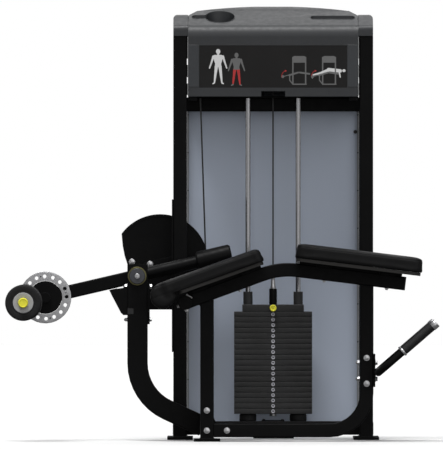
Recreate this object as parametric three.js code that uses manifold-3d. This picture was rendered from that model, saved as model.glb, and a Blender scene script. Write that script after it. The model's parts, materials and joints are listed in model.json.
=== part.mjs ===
// Lying (prone) leg curl machine with its weight stack tower.
// Millimetres. While modelling: X = 0 in the middle of the tower, +X towards the chest pad,
// Y = 0 in the middle plane of the bench, +Y towards the tower, Z = 0 on the floor.
// At the end the whole group is shifted so that its origin is the middle of its footprint.
import * as THREE from 'three';
import { mergeVertices } from 'three/addons/utils/BufferGeometryUtils.js';
import Module from 'manifold-3d';

// ---------------------------------------------------------------- driving dimensions

const GAP = 0.3;                 // clearance left between pieces that touch
const TUBE = 50.8;               // 2 in square frame tube
const HALF = TUBE / 2;
const WALL = 3;                  // wall of the frame tubes
const TUBE_CORNER = 5;           // outside corner radius of the frame tubes
const FOOT_THICK = 10.5;

const UPRIGHT_X = 350.4;         // tower uprights, left and right of the middle
const FRONT_Y = 400;             // front uprights
const STACK_Y = 530;             // plane of the stack, the cable, the pulleys and the cam
const REAR_Y = 660;              // rear uprights
const FRAME_TOP = 1518.7;
const BASE_RAIL_Z = [15.4, 66.2];
const INNER_X = UPRIGHT_X - HALF; // inside face of the uprights

const ROD_X = 94.7;
const ROD_R = 9.5;
const BASE_BAR_Z = [16.7, 67.5];
const TOP_BEAM_Z = [1236.2, 1287];
const SHROUD_LOW = 1291;

const PLATE_COUNT = 19;
const PLATE_PITCH = 20.3;
const PLATE_X = 147;
const PLATE_HALF_DEPTH = 51.5;
const STACK_BOTTOM = 95.5;
const STACK_TOP = STACK_BOTTOM + PLATE_COUNT * PLATE_PITCH;
const STEM_R = 13.5;

const CABLE_R = 3;
const PULLEY_PITCH_R = 55;       // radius of the cable's centre line on a pulley
const PULLEY_Z = 1390;
const PULLEY_X = [-222.4, -PULLEY_PITCH_R];
const AXLE_R = 8;

const PIVOT = { x: -510, z: 616.2 };
const ARM_TILT = 13.1;           // degrees the arm hangs below level at rest
const ARM_Y = 255;               // middle plane of the arm and of the counterweight
const SHAFT_R = 15;
const DISC_X = -354;             // adjusting disc, along the arm from the pivot
const DISC_HOLE_CIRCLE = 79.5;   // also the crank's length
const ROLLER_HALF = 190;
const ROLLER_R = 67.7;

const CAM_CENTRE = { x: -425.6, z: 667.4 };
const CAM_R = 181;               // over the flanges
const CAM_CABLE_R = 172.3;       // cable's centre line on the cam
const CABLE_LEAN = 1.92;         // degrees that the cable leans while it runs down to the cam
const FLANK = 176;               // straight part of the cam below the round part

const POST_X = -248.5;           // left bench post
const RIGHT_POST_X = 347.4;
const LEFT_SLOPE = 20.08;        // bench tube, degrees up from its left end
const RIGHT_SLOPE = -7.01;
const BENCH_CREST = { x: 22.7, z: 646.3 };
const PAD_HALF = 150;
const COLUMN_Y = 185.5;
const COLUMN_X = -509;
const GRIP_Y = 220;

// ---------------------------------------------------------------- materials

const finish = (color, roughness, metalness) => ({ color, roughness, metalness });
const BLACK_PAINT = finish(0x0d0d0d, 0.45, 0.3);
const VINYL = finish(0x222223, 0.6, 0);
const BOARD = finish(0x15110e, 0.8, 0);
const IRON = finish(0x292929, 0.6, 0.3);
const CHROME = finish(0xc8c8c8, 0.15, 1);
const STEEL = finish(0x8c8c8c, 0.35, 0.9);
const RUBBER = finish(0x141414, 0.85, 0);
const FOAM = finish(0x1c1c1c, 0.9, 0);
const YELLOW = finish(0xe8d820, 0.4, 0);
const SHROUD = finish(0x4a4d52, 0.5, 0);
const FROSTED = finish(0x7a818e, 0.4, 0);
const NYLON = finish(0x2a2a2a, 0.6, 0);
const CABLE = finish(0x18181a, 0.4, 0.2);

// ---------------------------------------------------------------- solids

const wasm = await Module();
wasm.setup();

const DEG = Math.PI / 180;

// A closed three.js geometry as a solid, whichever way round its faces run.
function solid(geometry) {
  const bare = geometry.clone();
  bare.deleteAttribute('normal');
  bare.deleteAttribute('uv');
  const merged = mergeVertices(bare, 1e-3);
  const vertProperties = Float32Array.from(merged.attributes.position.array);
  const triVerts = Uint32Array.from(merged.index.array);
  if (signedVolume(vertProperties, triVerts) < 0) triVerts.reverse();
  return new wasm.Manifold(new wasm.Mesh({ numProp: 3, vertProperties, triVerts }));
}

function signedVolume(points, triangles) {
  const corner = (k) => new THREE.Vector3().fromArray(points, 3 * triangles[k]);
  let total = 0;
  for (let k = 0; k < triangles.length; k += 3) {
    total += corner(k).dot(corner(k + 1).cross(corner(k + 2)));
  }
  return total / 6;
}

function geometryOf(body) {
  const mesh = body.getMesh();
  const geometry = new THREE.BufferGeometry();
  geometry.setAttribute('position', new THREE.BufferAttribute(mesh.vertProperties, 3));
  geometry.setIndex(new THREE.BufferAttribute(mesh.triVerts, 1));
  geometry.computeVertexNormals();
  return geometry;
}

const join = (first, ...others) => others.reduce((whole, piece) => whole.add(piece), first);
const cut = (body, ...tools) => tools.reduce((left, tool) => left.subtract(tool), body);

// Each axis as the basis that takes an outline's (x, y) to its plane and the extrusion to the axis.
const BASIS = {
  x: [[0, 1, 0], [0, 0, 1], [1, 0, 0]],
  y: [[1, 0, 0], [0, 0, 1], [0, -1, 0]],
  z: [[1, 0, 0], [0, 1, 0], [0, 0, 1]],
};

function toAxis(geometry, axis) {
  const [a, b, c] = BASIS[axis].map((v) => new THREE.Vector3(...v));
  return geometry.applyMatrix4(new THREE.Matrix4().makeBasis(a, b, c));
}

// A flat outline pushed along an axis from one coordinate to the other.
// Outlines lie in (Y, Z) for axis x, in (X, Z) for axis y and in (X, Y) for axis z.
function prism(shape, axis, [from, to], curveSegments = 6) {
  const depth = to - from;
  const geometry = new THREE.ExtrudeGeometry(shape, { depth, bevelEnabled: false, curveSegments });
  if (axis === 'y') geometry.translate(0, 0, -to);
  else geometry.translate(0, 0, from);
  return solid(toAxis(geometry, axis));
}

const outline = (points) => new THREE.Shape(points.map(([a, b]) => new THREE.Vector2(a, b)));

function roundedRect(width, height, radius) {
  const [w, h] = [width / 2, height / 2];
  const shape = new THREE.Shape();
  shape.moveTo(w, -h + radius);
  shape.absarc(w - radius, h - radius, radius, 0, Math.PI / 2);
  shape.absarc(-w + radius, h - radius, radius, Math.PI / 2, Math.PI);
  shape.absarc(-w + radius, -h + radius, radius, Math.PI, 1.5 * Math.PI);
  shape.absarc(w - radius, -h + radius, radius, 1.5 * Math.PI, 2 * Math.PI);
  return shape;
}

function block([x0, x1], [y0, y1], [z0, z1]) {
  const geometry = new THREE.BoxGeometry(x1 - x0, y1 - y0, z1 - z0);
  return solid(geometry.translate((x0 + x1) / 2, (y0 + y1) / 2, (z0 + z1) / 2));
}

const around = (centre, half) => [centre - half, centre + half];

// A round bar along an axis; at = [X, Y, Z] of any point on it.
function bar(radius, axis, [from, to], at, sides = 24) {
  const geometry = new THREE.CylinderGeometry(radius, radius, to - from, sides);
  if (axis === 'x') geometry.rotateZ(-Math.PI / 2);
  if (axis === 'z') geometry.rotateX(Math.PI / 2);
  const place = new THREE.Vector3(...at);
  place[axis] = (from + to) / 2;
  return solid(geometry.translate(...place));
}

// A ring turned about an axis from a closed profile of [radius, distance along the axis].
function turned(profile, axis, at, sides = 32) {
  const points = [...profile, profile[0]].map(([r, a]) => new THREE.Vector2(r, a));
  const geometry = new THREE.LatheGeometry(points, sides);
  if (axis === 'z') geometry.rotateX(Math.PI / 2);
  return solid(geometry.translate(...at));
}

// A straight frame tube along an axis, closed or, with open = true, hollow from end to end.
function frameTube(axis, [from, to], at, { size = [TUBE, TUBE], open = false } = {}) {
  const move = { x: [at[1], at[2]], y: [at[0], at[2]], z: [at[0], at[1]] }[axis];
  const skin = (shape, span) => {
    const body = prism(shape, axis, span, 2);
    const shift = { x: [0, ...move], y: [move[0], 0, move[1]], z: [...move, 0] }[axis];
    return body.translate(shift);
  };
  const outer = skin(roundedRect(size[0], size[1], TUBE_CORNER), [from, to]);
  if (!open) return outer;
  const hollow = roundedRect(size[0] - 2 * WALL, size[1] - 2 * WALL, TUBE_CORNER - WALL);
  return cut(outer, skin(hollow, [from - 1, to + 1]));
}

// Straight runs joined by round bends, with a station at each end of a run and along each bend.
// A flat route names its side, the direction square to its plane, so that its section can't twist.
class Route extends THREE.Curve {
  constructor(corners, radii, { side = null, bendSteps = 8 } = {}) {
    super();
    this.side = side;
    this.stations = [];
    const points = corners.map((corner) => new THREE.Vector3(...corner));
    const last = points.length - 1;
    const heading = (k) => points[k + 1].clone().sub(points[k]).normalize();
    this.add(points[0], heading(0));
    for (let k = 1; k < last; k++) {
      this.addBend(points[k], heading(k - 1), heading(k), radii[k - 1], bendSteps);
    }
    this.add(points[last], heading(last - 1));
  }

  add(point, tangent) {
    this.stations.push({ point: point.clone(), tangent: tangent.clone() });
  }

  addBend(corner, incoming, outgoing, radius, steps) {
    const angle = incoming.angleTo(outgoing);
    const setback = radius * Math.tan(angle / 2);
    const start = corner.clone().addScaledVector(incoming, -setback);
    const inward = outgoing.clone().addScaledVector(incoming, -outgoing.dot(incoming)).normalize();
    for (let k = 0; k <= steps; k++) {
      const turn = (angle * k) / steps;
      const point = start.clone()
        .addScaledVector(incoming, radius * Math.sin(turn))
        .addScaledVector(inward, radius * (1 - Math.cos(turn)));
      const tangent = incoming.clone()
        .multiplyScalar(Math.cos(turn))
        .addScaledVector(inward, Math.sin(turn));
      this.add(point, tangent);
    }
  }

  station(u) {
    return this.stations[Math.round(u * (this.stations.length - 1))];
  }

  getPointAt(u) {
    return this.station(u).point.clone();
  }

  getTangentAt(u) {
    return this.station(u).tangent.clone();
  }

  getSpacedPoints() {
    return this.stations.map((station) => station.point.clone());
  }

  computeFrenetFrames(segments, closed) {
    if (!this.side) return super.computeFrenetFrames(segments, closed);
    const binormal = new THREE.Vector3(...this.side);
    const tangents = this.stations.map((station) => station.tangent.clone());
    const normals = tangents.map((tangent) => binormal.clone().cross(tangent).normalize());
    return { tangents, normals, binormals: tangents.map(() => binormal.clone()) };
  }
}

function sweep(section, route, curveSegments = 2) {
  const options = { steps: route.stations.length - 1, extrudePath: route, curveSegments };
  return solid(new THREE.ExtrudeGeometry(section, options));
}

function disc(radius) {
  const shape = new THREE.Shape();
  shape.absarc(0, 0, radius, 0, 2 * Math.PI);
  return shape;
}

const FLAT = { side: [0, 1, 0] };   // routes that stay in one XZ plane
const inPlane = (points, y) => points.map(([x, z]) => [x, y, z]);
const pointAt = (from, degrees, distance) => [
  from[0] + distance * Math.cos(degrees * DEG),
  from[1] + distance * Math.sin(degrees * DEG),
];

// ---------------------------------------------------------------- scene graph

const machine = new THREE.Group();

function place(parent, name, body, look) {
  const mesh = new THREE.Mesh(geometryOf(body), new THREE.MeshStandardMaterial(look));
  mesh.name = name;
  parent.add(mesh);
  return mesh;
}

function group(parent, at, turnAboutY = 0) {
  const child = new THREE.Group();
  child.position.set(...at);
  child.rotation.y = turnAboutY * DEG;
  parent.add(child);
  return child;
}

// ---------------------------------------------------------------- tower frame

// One side of the tower: two uprights with foot plates, a base rail and a top rail, all welded.
function sideFrame(side) {
  const x = side * UPRIGHT_X;
  const upright = (y) => frameTube('z', [FOOT_THICK - 1, FRAME_TOP], [x, y, 0]);
  const rail = (z) => frameTube('y', [FRONT_Y, REAR_Y], [x, 0, z]);
  const foot = (y) => block(around(x, 48), around(y, 45), [0, FOOT_THICK]);
  const inner = HALF - WALL;
  const bore = (y) => block(around(x, inner), around(y, inner), [-1, FRAME_TOP - WALL]);
  const whole = join(
    upright(FRONT_Y), upright(REAR_Y),
    rail((BASE_RAIL_Z[0] + BASE_RAIL_Z[1]) / 2), rail(FRAME_TOP - HALF),
    foot(FRONT_Y), foot(REAR_Y),
  );
  return cut(whole, bore(FRONT_Y), bore(REAR_Y));
}

// Base bar between the side frames; the guide rods stand in it and the bumpers lie on it.
function baseBar() {
  const z = (BASE_BAR_Z[0] + BASE_BAR_Z[1]) / 2;
  const span = [-INNER_X + GAP, INNER_X - GAP];
  const body = frameTube('x', span, [0, STACK_Y, z], { size: [2 * TUBE, TUBE], open: true });
  const hole = (x) => bar(ROD_R + GAP, 'z', [z, z + TUBE], [x, STACK_Y, 0], 16);
  return cut(body, hole(-ROD_X), hole(ROD_X));
}

// Beam just behind the guide rods. A shelf on it holds the tops of the rods and, on two cheek
// plates, the two pulleys; its end plates are fixed to the rear uprights.
function topBeam() {
  const [low, high] = TOP_BEAM_Z;
  const [end, y] = [INNER_X - GAP, STACK_Y + ROD_R + 2 + HALF];
  const tube = frameTube('x', [-end, end], [0, y, (low + high) / 2], { open: true });
  const endPlate = (side) => block(around(side * (end - 3), 3), [y, REAR_Y + 5], TOP_BEAM_Z);
  const shelf = block([-312, ROD_X + 24], [STACK_Y - 20, y + HALF], [high - 1, high + 7]);
  const cheekX = [PULLEY_X[0] - 22, PULLEY_X[1] + 22];
  const cheek = (across) => block(cheekX, around(across, 2.5), [high + 6, PULLEY_Z + 24]);
  const axle = (x) => bar(AXLE_R, 'y', around(STACK_Y, 14), [x, 0, PULLEY_Z], 16);
  const rodHole = (x) => bar(ROD_R + GAP, 'z', [high - 2, high + 4], [x, STACK_Y, 0], 16);
  const cableHole = bar(10, 'z', [high - 2, high + 8], [0, STACK_Y, 0], 16);
  const armCableSlot = block([-298, -256], around(STACK_Y, 8), [high - 2, high + 8]);
  const body = join(tube, endPlate(-1), endPlate(1), shelf, cheek(STACK_Y - 14), cheek(STACK_Y + 14),
    ...PULLEY_X.map(axle));
  return cut(body, rodHole(-ROD_X), rodHole(ROD_X), cableHole, armCableSlot);
}

const SIDE_PLATE_X = [-381.1, -376.1];

// Plate on the left of the tower with a slot for the cam, and the bracket of the rear bearing.
function sidePlate() {
  const plate = block(SIDE_PLATE_X, [FRONT_Y - HALF, REAR_Y + HALF], [330, 904]);
  const slot = block(around(-378, 10), around(STACK_Y, 18), [350, 882]);
  const arm = outline([[-378, 489], [-378, 690], [-480, 668], [-548, 616], [-520, 577], [-465, 489]]);
  const bracket = prism(arm, 'y', [466, 478]);
  const housing = bar(34, 'y', [442, 502], [PIVOT.x, 0, PIVOT.z]);
  const bore = bar(SHAFT_R + GAP, 'y', [430, 510], [PIVOT.x, 0, PIVOT.z]);
  return cut(join(plate, bracket, housing), slot, bore);
}

function buildTower() {
  const tower = group(machine, [0, 0, 0]);
  place(tower, 'tower_left_frame', sideFrame(-1), BLACK_PAINT);
  place(tower, 'tower_right_frame', sideFrame(1), BLACK_PAINT);
  place(tower, 'stack_base_bar', baseBar(), BLACK_PAINT);
  place(tower, 'top_beam', topBeam(), BLACK_PAINT);
  place(tower, 'cam_side_plate', sidePlate(), BLACK_PAINT);
  const shield = block(around(0, INNER_X - GAP), [669, 674], [18, SHROUD_LOW - GAP]);
  place(tower, 'rear_shield', shield, FROSTED);
}

// ---------------------------------------------------------------- shroud

const SHROUD_X = 320.7;
const SHROUD_Y = [370, 690];
const SHROUD_WALL = 4;
const TOP_SLOPE = 22;
const FRONT_EDGE_Z = 1550;
const SLOPE_END_Y = 548;
const CUP = { x: -200, y: 473, r: 54.5, floor: 1500 };

// Height of the sloping top at a given Y.
const slopeZ = (y) => FRONT_EDGE_Z + (Math.min(y, SLOPE_END_Y) - SHROUD_Y[0]) * Math.tan(TOP_SLOPE * DEG);

// The shroud in side view, brought in on all sides by the inset.
function shroudSide(inset) {
  const [front, back] = [SHROUD_Y[0] + inset, SHROUD_Y[1] - inset];
  const low = SHROUD_LOW - (inset ? 5 : 0);
  const top = slopeZ(SLOPE_END_Y) - inset + 10;
  const shape = new THREE.Shape();
  shape.moveTo(front, low);
  shape.lineTo(back, low);
  shape.lineTo(back, top - 34);
  shape.quadraticCurveTo(back, top - 4, back - 34, top);
  shape.lineTo(SLOPE_END_Y + 30, top);
  shape.quadraticCurveTo(SLOPE_END_Y + 8, top, SLOPE_END_Y - 14, slopeZ(SLOPE_END_Y - 14) - inset);
  shape.lineTo(front + 28, slopeZ(front + 28) - inset);
  shape.quadraticCurveTo(front + 1, slopeZ(front) - inset - 1, front, FRONT_EDGE_Z - 36 - inset);
  return shape;
}

// The shroud in front view: shoulders at both ends and a gentle crown between them.
function shroudFront(inset) {
  const x = SHROUD_X - inset;
  const shape = new THREE.Shape();
  shape.moveTo(-x, SHROUD_LOW - 10);
  shape.lineTo(x, SHROUD_LOW - 10);
  shape.lineTo(x, 1596 - inset);
  shape.lineTo(313 - inset, 1601 - inset);
  shape.lineTo(286.5 - inset, 1615 - inset);
  shape.quadraticCurveTo(0, 1651 - inset, -286.5 + inset, 1615 - inset);
  shape.lineTo(-313 + inset, 1601 - inset);
  shape.lineTo(-x, 1596 - inset);
  return shape;
}

function shroudSolid(inset) {
  const x = SHROUD_X - inset;
  const side = prism(shroudSide(inset), 'x', [-x, x], 8);
  const front = prism(shroudFront(inset), 'y', [SHROUD_Y[0] - 5, SHROUD_Y[1] + 5], 10);
  return side.intersect(front);
}

// An upright pocket with round ends, as long as the slot and wider by grow on every side.
function pocket({ x: [x0, x1], y: [y0, y1] }, grow, range) {
  const [length, width] = [x1 - x0 + 2 * grow, y1 - y0 + 2 * grow];
  const shape = roundedRect(length, width, width / 2 - 0.01);
  return prism(shape, 'z', range, 5).translate([(x0 + x1) / 2, (y0 + y1) / 2, 0]);
}

// Hollow housing with a round cup holder, a slot for the cup's handle, a phone slot and a notch.
function shroud() {
  const slots = [{ x: [142, 307], y: [452, 482] }, { x: [-305, -225], y: [458, 488] }];
  const [slotFloor, pocketWall, above] = [1528, 3, 1660];
  const walls = join(
    bar(CUP.r + pocketWall, 'z', [CUP.floor - pocketWall, above], [CUP.x, CUP.y, 0], 32),
    ...slots.map((slot) => pocket(slot, pocketWall, [slotFloor - pocketWall, above])),
  );
  const hollow = join(
    bar(CUP.r, 'z', [CUP.floor, above + 1], [CUP.x, CUP.y, 0], 32),
    ...slots.map((slot) => pocket(slot, 0, [slotFloor, above + 1])),
  );
  const notch = block(around(0, 45), [SHROUD_Y[0] - 5, SHROUD_Y[0] + 30], [SHROUD_LOW - 5, 1311]);
  const placardBed = block(around(0, 278), [SHROUD_Y[0] - 5, SHROUD_Y[0] + 1.6], [1324, 1483]);
  const outer = shroudSolid(0);
  const shell = cut(outer, shroudSolid(SHROUD_WALL));
  return cut(join(shell, walls.intersect(outer)), hollow, notch, placardBed);
}

// Cap over the top of one side frame, beside the shroud.
function endCap(side) {
  const [front, back] = [372, 688];
  const shape = new THREE.Shape();
  shape.moveTo(front, FRAME_TOP + GAP);
  shape.lineTo(back, FRAME_TOP + GAP);
  shape.lineTo(back, 1580);
  shape.quadraticCurveTo(back, 1598, back - 18, 1600);
  shape.lineTo(500, 1600);
  shape.quadraticCurveTo(482, 1600, 466, 1594);
  shape.lineTo(front + 16, 1561);
  shape.quadraticCurveTo(front, 1556, front, 1540);
  const [near, far] = [SHROUD_X + GAP, 375.6];
  const body = prism(shape, 'x', side < 0 ? [-far, -near] : [near, far], 5);
  const round = roundedRect(2 * far, 400, 16);
  return body.intersect(prism(round, 'y', [front - 5, back + 5], 5).translate([0, 0, 1400]));
}

function buildShroud() {
  const cover = group(machine, [0, 0, 0]);
  place(cover, 'shroud_shell', shroud(), SHROUD);
  place(cover, 'shroud_cap_left', endCap(-1), SHROUD);
  place(cover, 'shroud_cap_right', endCap(1), SHROUD);
}

// ---------------------------------------------------------------- weight stack

const plateFloor = (index) => STACK_BOTTOM + index * PLATE_PITCH;
const PIN_Z = STACK_TOP + 13.2;

// One plate: bevelled edges, two rod holes, the stem hole and the pin hole from the front.
function weightPlate(halfWidth, thick, pinHole) {
  const [d, h, bevel] = [PLATE_HALF_DEPTH, thick / 2, 1.6];
  const edge = outline([
    [-d + bevel, -h], [d - bevel, -h], [d, -h + bevel], [d, h - bevel],
    [d - bevel, h], [-d + bevel, h], [-d, h - bevel], [-d, -h + bevel],
  ]);
  const body = prism(edge, 'x', [-halfWidth, halfWidth]);
  const through = (radius, x) => bar(radius, 'z', [-thick, thick], [x, 0, 0], 8);
  const rods = [-ROD_X, ROD_X].map((x) => through(ROD_R + 1.3, x));
  const pin = bar(pinHole, 'y', [-d - 1, 0], [0, 0, 0], 8);
  return cut(body, ...rods, through(STEM_R + 1.5, 0), pin);
}

function headPlate() {
  const thick = 26.3;
  const plate = weightPlate(116, thick, 6);
  const sleeve = (x) => cut(
    bar(17.5, 'z', [thick / 2 - 1, thick / 2 + 49], [x, 0, 0], 20),
    bar(ROD_R + 1, 'z', [thick / 2 - 2, thick / 2 + 60], [x, 0, 0], 12),
  );
  return join(plate, sleeve(-ROD_X), sleeve(ROD_X));
}

// Selector stem with one cross hole for each plate, and the cable's connector on top of it.
function stackStem() {
  const stem = bar(STEM_R, 'z', [86.5, 567], [0, 0, 0], 12);
  const neck = bar(7, 'z', [566, 608], [0, 0, 0], 12);
  const heights = Array.from({ length: PLATE_COUNT }, (_, k) => plateFloor(k) + PLATE_PITCH / 2);
  const hole = (z) => bar(5.6, 'y', [-20, 20], [0, 0, z], 6);
  return cut(join(stem, neck), ...[...heights, PIN_Z].map(hole));
}

function selectorPin() {
  const pin = bar(4.5, 'y', [-60, 12], [0, 0, 0], 8);
  const knob = bar(13, 'y', [-78, -59], [0, 0, 0], 24);
  return join(pin, knob);
}

function bumper() {
  const [low, high] = [BASE_BAR_Z[1] + GAP, STACK_BOTTOM - GAP];
  const inner = ROD_R + GAP;
  const profile = [[inner, low], [30, low], [32, low + 4], [32, high - 4], [29, high], [inner, high]];
  return turned(profile, 'z', [0, 0, 0], 16);
}

function buildStack() {
  const stack = group(machine, [0, STACK_Y, 0]);
  for (let k = 0; k < PLATE_COUNT; k++) {
    const plate = place(stack, `weight_plate_${String(k + 1).padStart(2, '0')}`,
      weightPlate(PLATE_X, PLATE_PITCH - GAP, 6), IRON);
    plate.position.z = plateFloor(k) + PLATE_PITCH / 2;
  }
  const head = place(stack, 'head_plate', headPlate(), IRON);
  head.position.z = STACK_TOP + 13.15;
  place(stack, 'stack_stem', stackStem(), STEEL);
  const pin = place(stack, 'selector_pin', selectorPin(), YELLOW);
  pin.position.z = PIN_Z;
  for (const [side, x] of [['left', -ROD_X], ['right', ROD_X]]) {
    const rod = bar(ROD_R, 'z', [BASE_BAR_Z[0] + WALL + GAP, TOP_BEAM_Z[1] + 4 - GAP], [x, 0, 0], 20);
    place(stack, `guide_rod_${side}`, rod, CHROME);
    place(stack, `bumper_${side}`, bumper().translate([x, 0, 0]), RUBBER);
  }
}

// ---------------------------------------------------------------- cable and pulleys

function pulley() {
  const [rim, groove, half] = [PULLEY_PITCH_R + 6, PULLEY_PITCH_R - CABLE_R - GAP, 9];
  const bore = AXLE_R + GAP;
  const profile = [
    [bore, -half], [rim, -half], [rim, -half + 2], [groove, -3.6], [groove, 3.6],
    [rim, half - 2], [rim, half], [bore, half],
  ];
  return turned(profile, 'y', [0, 0, 0], 24);
}

const leanDown = -90 + CABLE_LEAN;
const armCableTop = pointAt([PULLEY_X[0], PULLEY_Z], 180 + CABLE_LEAN, PULLEY_PITCH_R);
const ARM_CABLE_LENGTH = 888;

// The run from the left pulley down to its fixing at the foot of the cam's straight flank.
function armCable() {
  const from = pointAt(armCableTop, leanDown, GAP);
  const to = pointAt(armCableTop, leanDown, ARM_CABLE_LENGTH);
  return sweep(disc(CABLE_R), new Route(inPlane([from, to], STACK_Y), [], FLAT), 5);
}

// Over both pulleys and down to just below the right-hand one.
function topCable() {
  const [left, right] = PULLEY_X;
  const start = pointAt([left, PULLEY_Z], 180 + CABLE_LEAN, PULLEY_PITCH_R);
  const top = PULLEY_Z + PULLEY_PITCH_R;
  const lean = PULLEY_PITCH_R * Math.tan(CABLE_LEAN * DEG / 2);
  const corner = [left - PULLEY_PITCH_R - lean, top];
  const end = [right + PULLEY_PITCH_R, PULLEY_Z - 2];
  const points = inPlane([start, corner, [end[0], top], end], STACK_Y);
  return sweep(disc(CABLE_R), new Route(points, [PULLEY_PITCH_R - 0.01, PULLEY_PITCH_R - 0.01], FLAT), 4);
}

function buildCable() {
  const rig = group(machine, [0, 0, 0]);
  PULLEY_X.forEach((x, k) => {
    const wheel = place(rig, ['pulley_left', 'pulley_right'][k], pulley(), NYLON);
    wheel.position.set(x, STACK_Y, PULLEY_Z);
  });
  place(rig, 'cable_arm_run', armCable(), CABLE);
  place(rig, 'cable_top_run', topCable(), CABLE);
  const down = bar(CABLE_R, 'z', [608 + GAP, PULLEY_Z - 2 - GAP], [0, STACK_Y, 0], 10);
  place(rig, 'cable_stack_run', down, CABLE);
}

// ---------------------------------------------------------------- bench

const benchLine = (slope, x, lift) => BENCH_CREST.z + (x - BENCH_CREST.x) * Math.tan(slope * DEG)
  + lift / Math.cos(slope * DEG);

// Everything above the underside of the bench tube, to trim the posts that carry it.
function aboveBench(slope, [x0, x1]) {
  const low = (x) => benchLine(slope, x, -HALF - GAP);
  return prism(outline([[x0, low(x0)], [x1, low(x1)], [x1, 900], [x0, 900]]), 'y', [-60, 60]);
}

function leftPost() {
  const tube = frameTube('z', [FOOT_THICK - 1, 620], [POST_X, 0, 0]);
  const foot = block(around(POST_X, 49), around(0, 48), [0, FOOT_THICK]);
  const bore = block(around(POST_X, HALF - WALL), around(0, HALF - WALL), [-1, 480]);
  return cut(join(tube, foot), aboveBench(LEFT_SLOPE, around(POST_X, 60)), bore);
}

const LOWER_Z = 40.8;

// Lower tube that runs along the floor, bends up and becomes the right-hand post.
function lowerTube() {
  const start = POST_X + HALF + GAP;
  const corners = inPlane([[start, LOWER_Z], [RIGHT_POST_X, LOWER_Z], [RIGHT_POST_X, 640]], 0);
  const route = new Route(corners, [138.4], FLAT);
  const inner = new Route(
    inPlane([[start - 1, LOWER_Z], [RIGHT_POST_X, LOWER_Z], [RIGHT_POST_X, 560]], 0), [138.4], FLAT);
  const body = sweep(roundedRect(TUBE, TUBE, TUBE_CORNER), route);
  const hollow = sweep(roundedRect(TUBE - 2 * WALL, TUBE - 2 * WALL, 2), inner, 1);
  const shoe = block(around(0, 76), around(0, 20), [11, 16.4]);
  return join(cut(body, aboveBench(RIGHT_SLOPE, around(RIGHT_POST_X, 60)), hollow), shoe);
}

// Bent bench tube with a short cross tube at its left end and the ledges that the boards sit on.
function benchTube() {
  const left = [-330.5, benchLine(LEFT_SLOPE, -330.5, 0)];
  const right = [489, benchLine(RIGHT_SLOPE, 489, 0)];
  const crest = [BENCH_CREST.x, BENCH_CREST.z];
  const route = new Route(inPlane([left, crest, right], 0), [270], FLAT);
  const body = sweep(roundedRect(TUBE, TUBE, TUBE_CORNER), route);
  const cross = bar(26, 'y', [-60, 60], [left[0], 0, left[1]]);
  const ledge = (slope, x0, x1) => {
    const z = (x, lift) => benchLine(slope, x, HALF + lift);
    const side = outline([[x0, z(x0, -2)], [x1, z(x1, -2)], [x1, z(x1, 6.2)], [x0, z(x0, 6.2)]]);
    return prism(side, 'y', [-55, 55]);
  };
  return join(
    body, cross,
    ledge(LEFT_SLOPE, -300, -250), ledge(LEFT_SLOPE, -120, -70),
    ledge(RIGHT_SLOPE, 160, 215), ledge(RIGHT_SLOPE, 395, 450),
  );
}

const LINK_FLANGE_Y = [HALF + GAP, HALF + GAP + 9];

// Tube from the right-hand post back to the tower's right-hand front upright.
function rightLink() {
  const back = FRONT_Y - HALF - GAP;
  const section = { size: [TUBE, 76.2], open: true };
  const tube = frameTube('y', [LINK_FLANGE_Y[1] - 1, back], [RIGHT_POST_X, 0, 263], section);
  const flange = block(around(RIGHT_POST_X, HALF), LINK_FLANGE_Y, [200, 327]);
  return join(tube, flange);
}

const THIGH_TOP = [[-433, 586], [-54, 721]];
const CHEST_TOP = [[84, 738.5], [562, 681]];
const BOARD_THICK = 12;

// A pad's plan, extruded to its thickness, hanging down from its top line.
function padSlab(length, width, corner, [low, high]) {
  return prism(roundedRect(length, width, corner), 'z', [low, high], 5).translate([length / 2, 0, 0]);
}

function padGroup([[x0, z0], [x1, z1]]) {
  const tilt = Math.atan2(z1 - z0, x1 - x0) / DEG;
  return { pad: group(machine, [x0, 0, z0], -tilt), length: Math.hypot(x1 - x0, z1 - z0) };
}

function buildPads() {
  const thigh = padGroup(THIGH_TOP);
  const thighLength = thigh.length + 4;
  const roll = bar(50, 'y', [-PAD_HALF + 4, PAD_HALF - 4], [3, 0, -50.2]);
  const slab = padSlab(thighLength, 2 * PAD_HALF, 22, [-50, 0]);
  place(thigh.pad, 'thigh_pad', join(slab, roll), VINYL);
  const board = padSlab(thighLength - 72, 2 * PAD_HALF - 16, 20, [-50 - GAP - BOARD_THICK, -50 - GAP]);
  place(thigh.pad, 'thigh_board', board.translate([64, 0, 0]), BOARD);

  const chest = padGroup(CHEST_TOP);
  const chestLength = chest.length;
  place(chest.pad, 'chest_pad', padSlab(chestLength, 2 * PAD_HALF, 30, [-53, 0]), VINYL);
  const chestBoard = padSlab(chestLength - 16, 2 * PAD_HALF - 16, 26, [-53 - GAP - BOARD_THICK, -53 - GAP]);
  place(chest.pad, 'chest_board', chestBoard.translate([8, 0, 0]), BOARD);
}

const BAR_R = 13.5;
const BAR_LOW = { x: 389.5, z: 257.6 };
const BAR_END = { x: 602, z: 441 };
const BAR_SLOPE = Math.atan2(BAR_END.z - BAR_LOW.z, BAR_END.x - BAR_LOW.x) / DEG;

// U-shaped hand bar, welded to the plate that bolts to the right-hand post.
function handlebar() {
  const corners = [
    [BAR_END.x, -GRIP_Y, BAR_END.z], [BAR_LOW.x, -GRIP_Y, BAR_LOW.z],
    [BAR_LOW.x, GRIP_Y, BAR_LOW.z], [BAR_END.x, GRIP_Y, BAR_END.z],
  ];
  const tube = sweep(disc(BAR_R), new Route(corners, [55, 55]), 5);
  const plate = block([373.4, 379.5], [-38, 38], [203, 327]);
  return join(tube, plate);
}

function gripSleeve() {
  const profile = [[BAR_R + GAP, 126], [15, 126], [15.5, 130], [15.5, 270], [15, 274], [BAR_R + GAP, 274]];
  return turned(profile, 'z', [0, 0, 0], 20);
}

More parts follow.
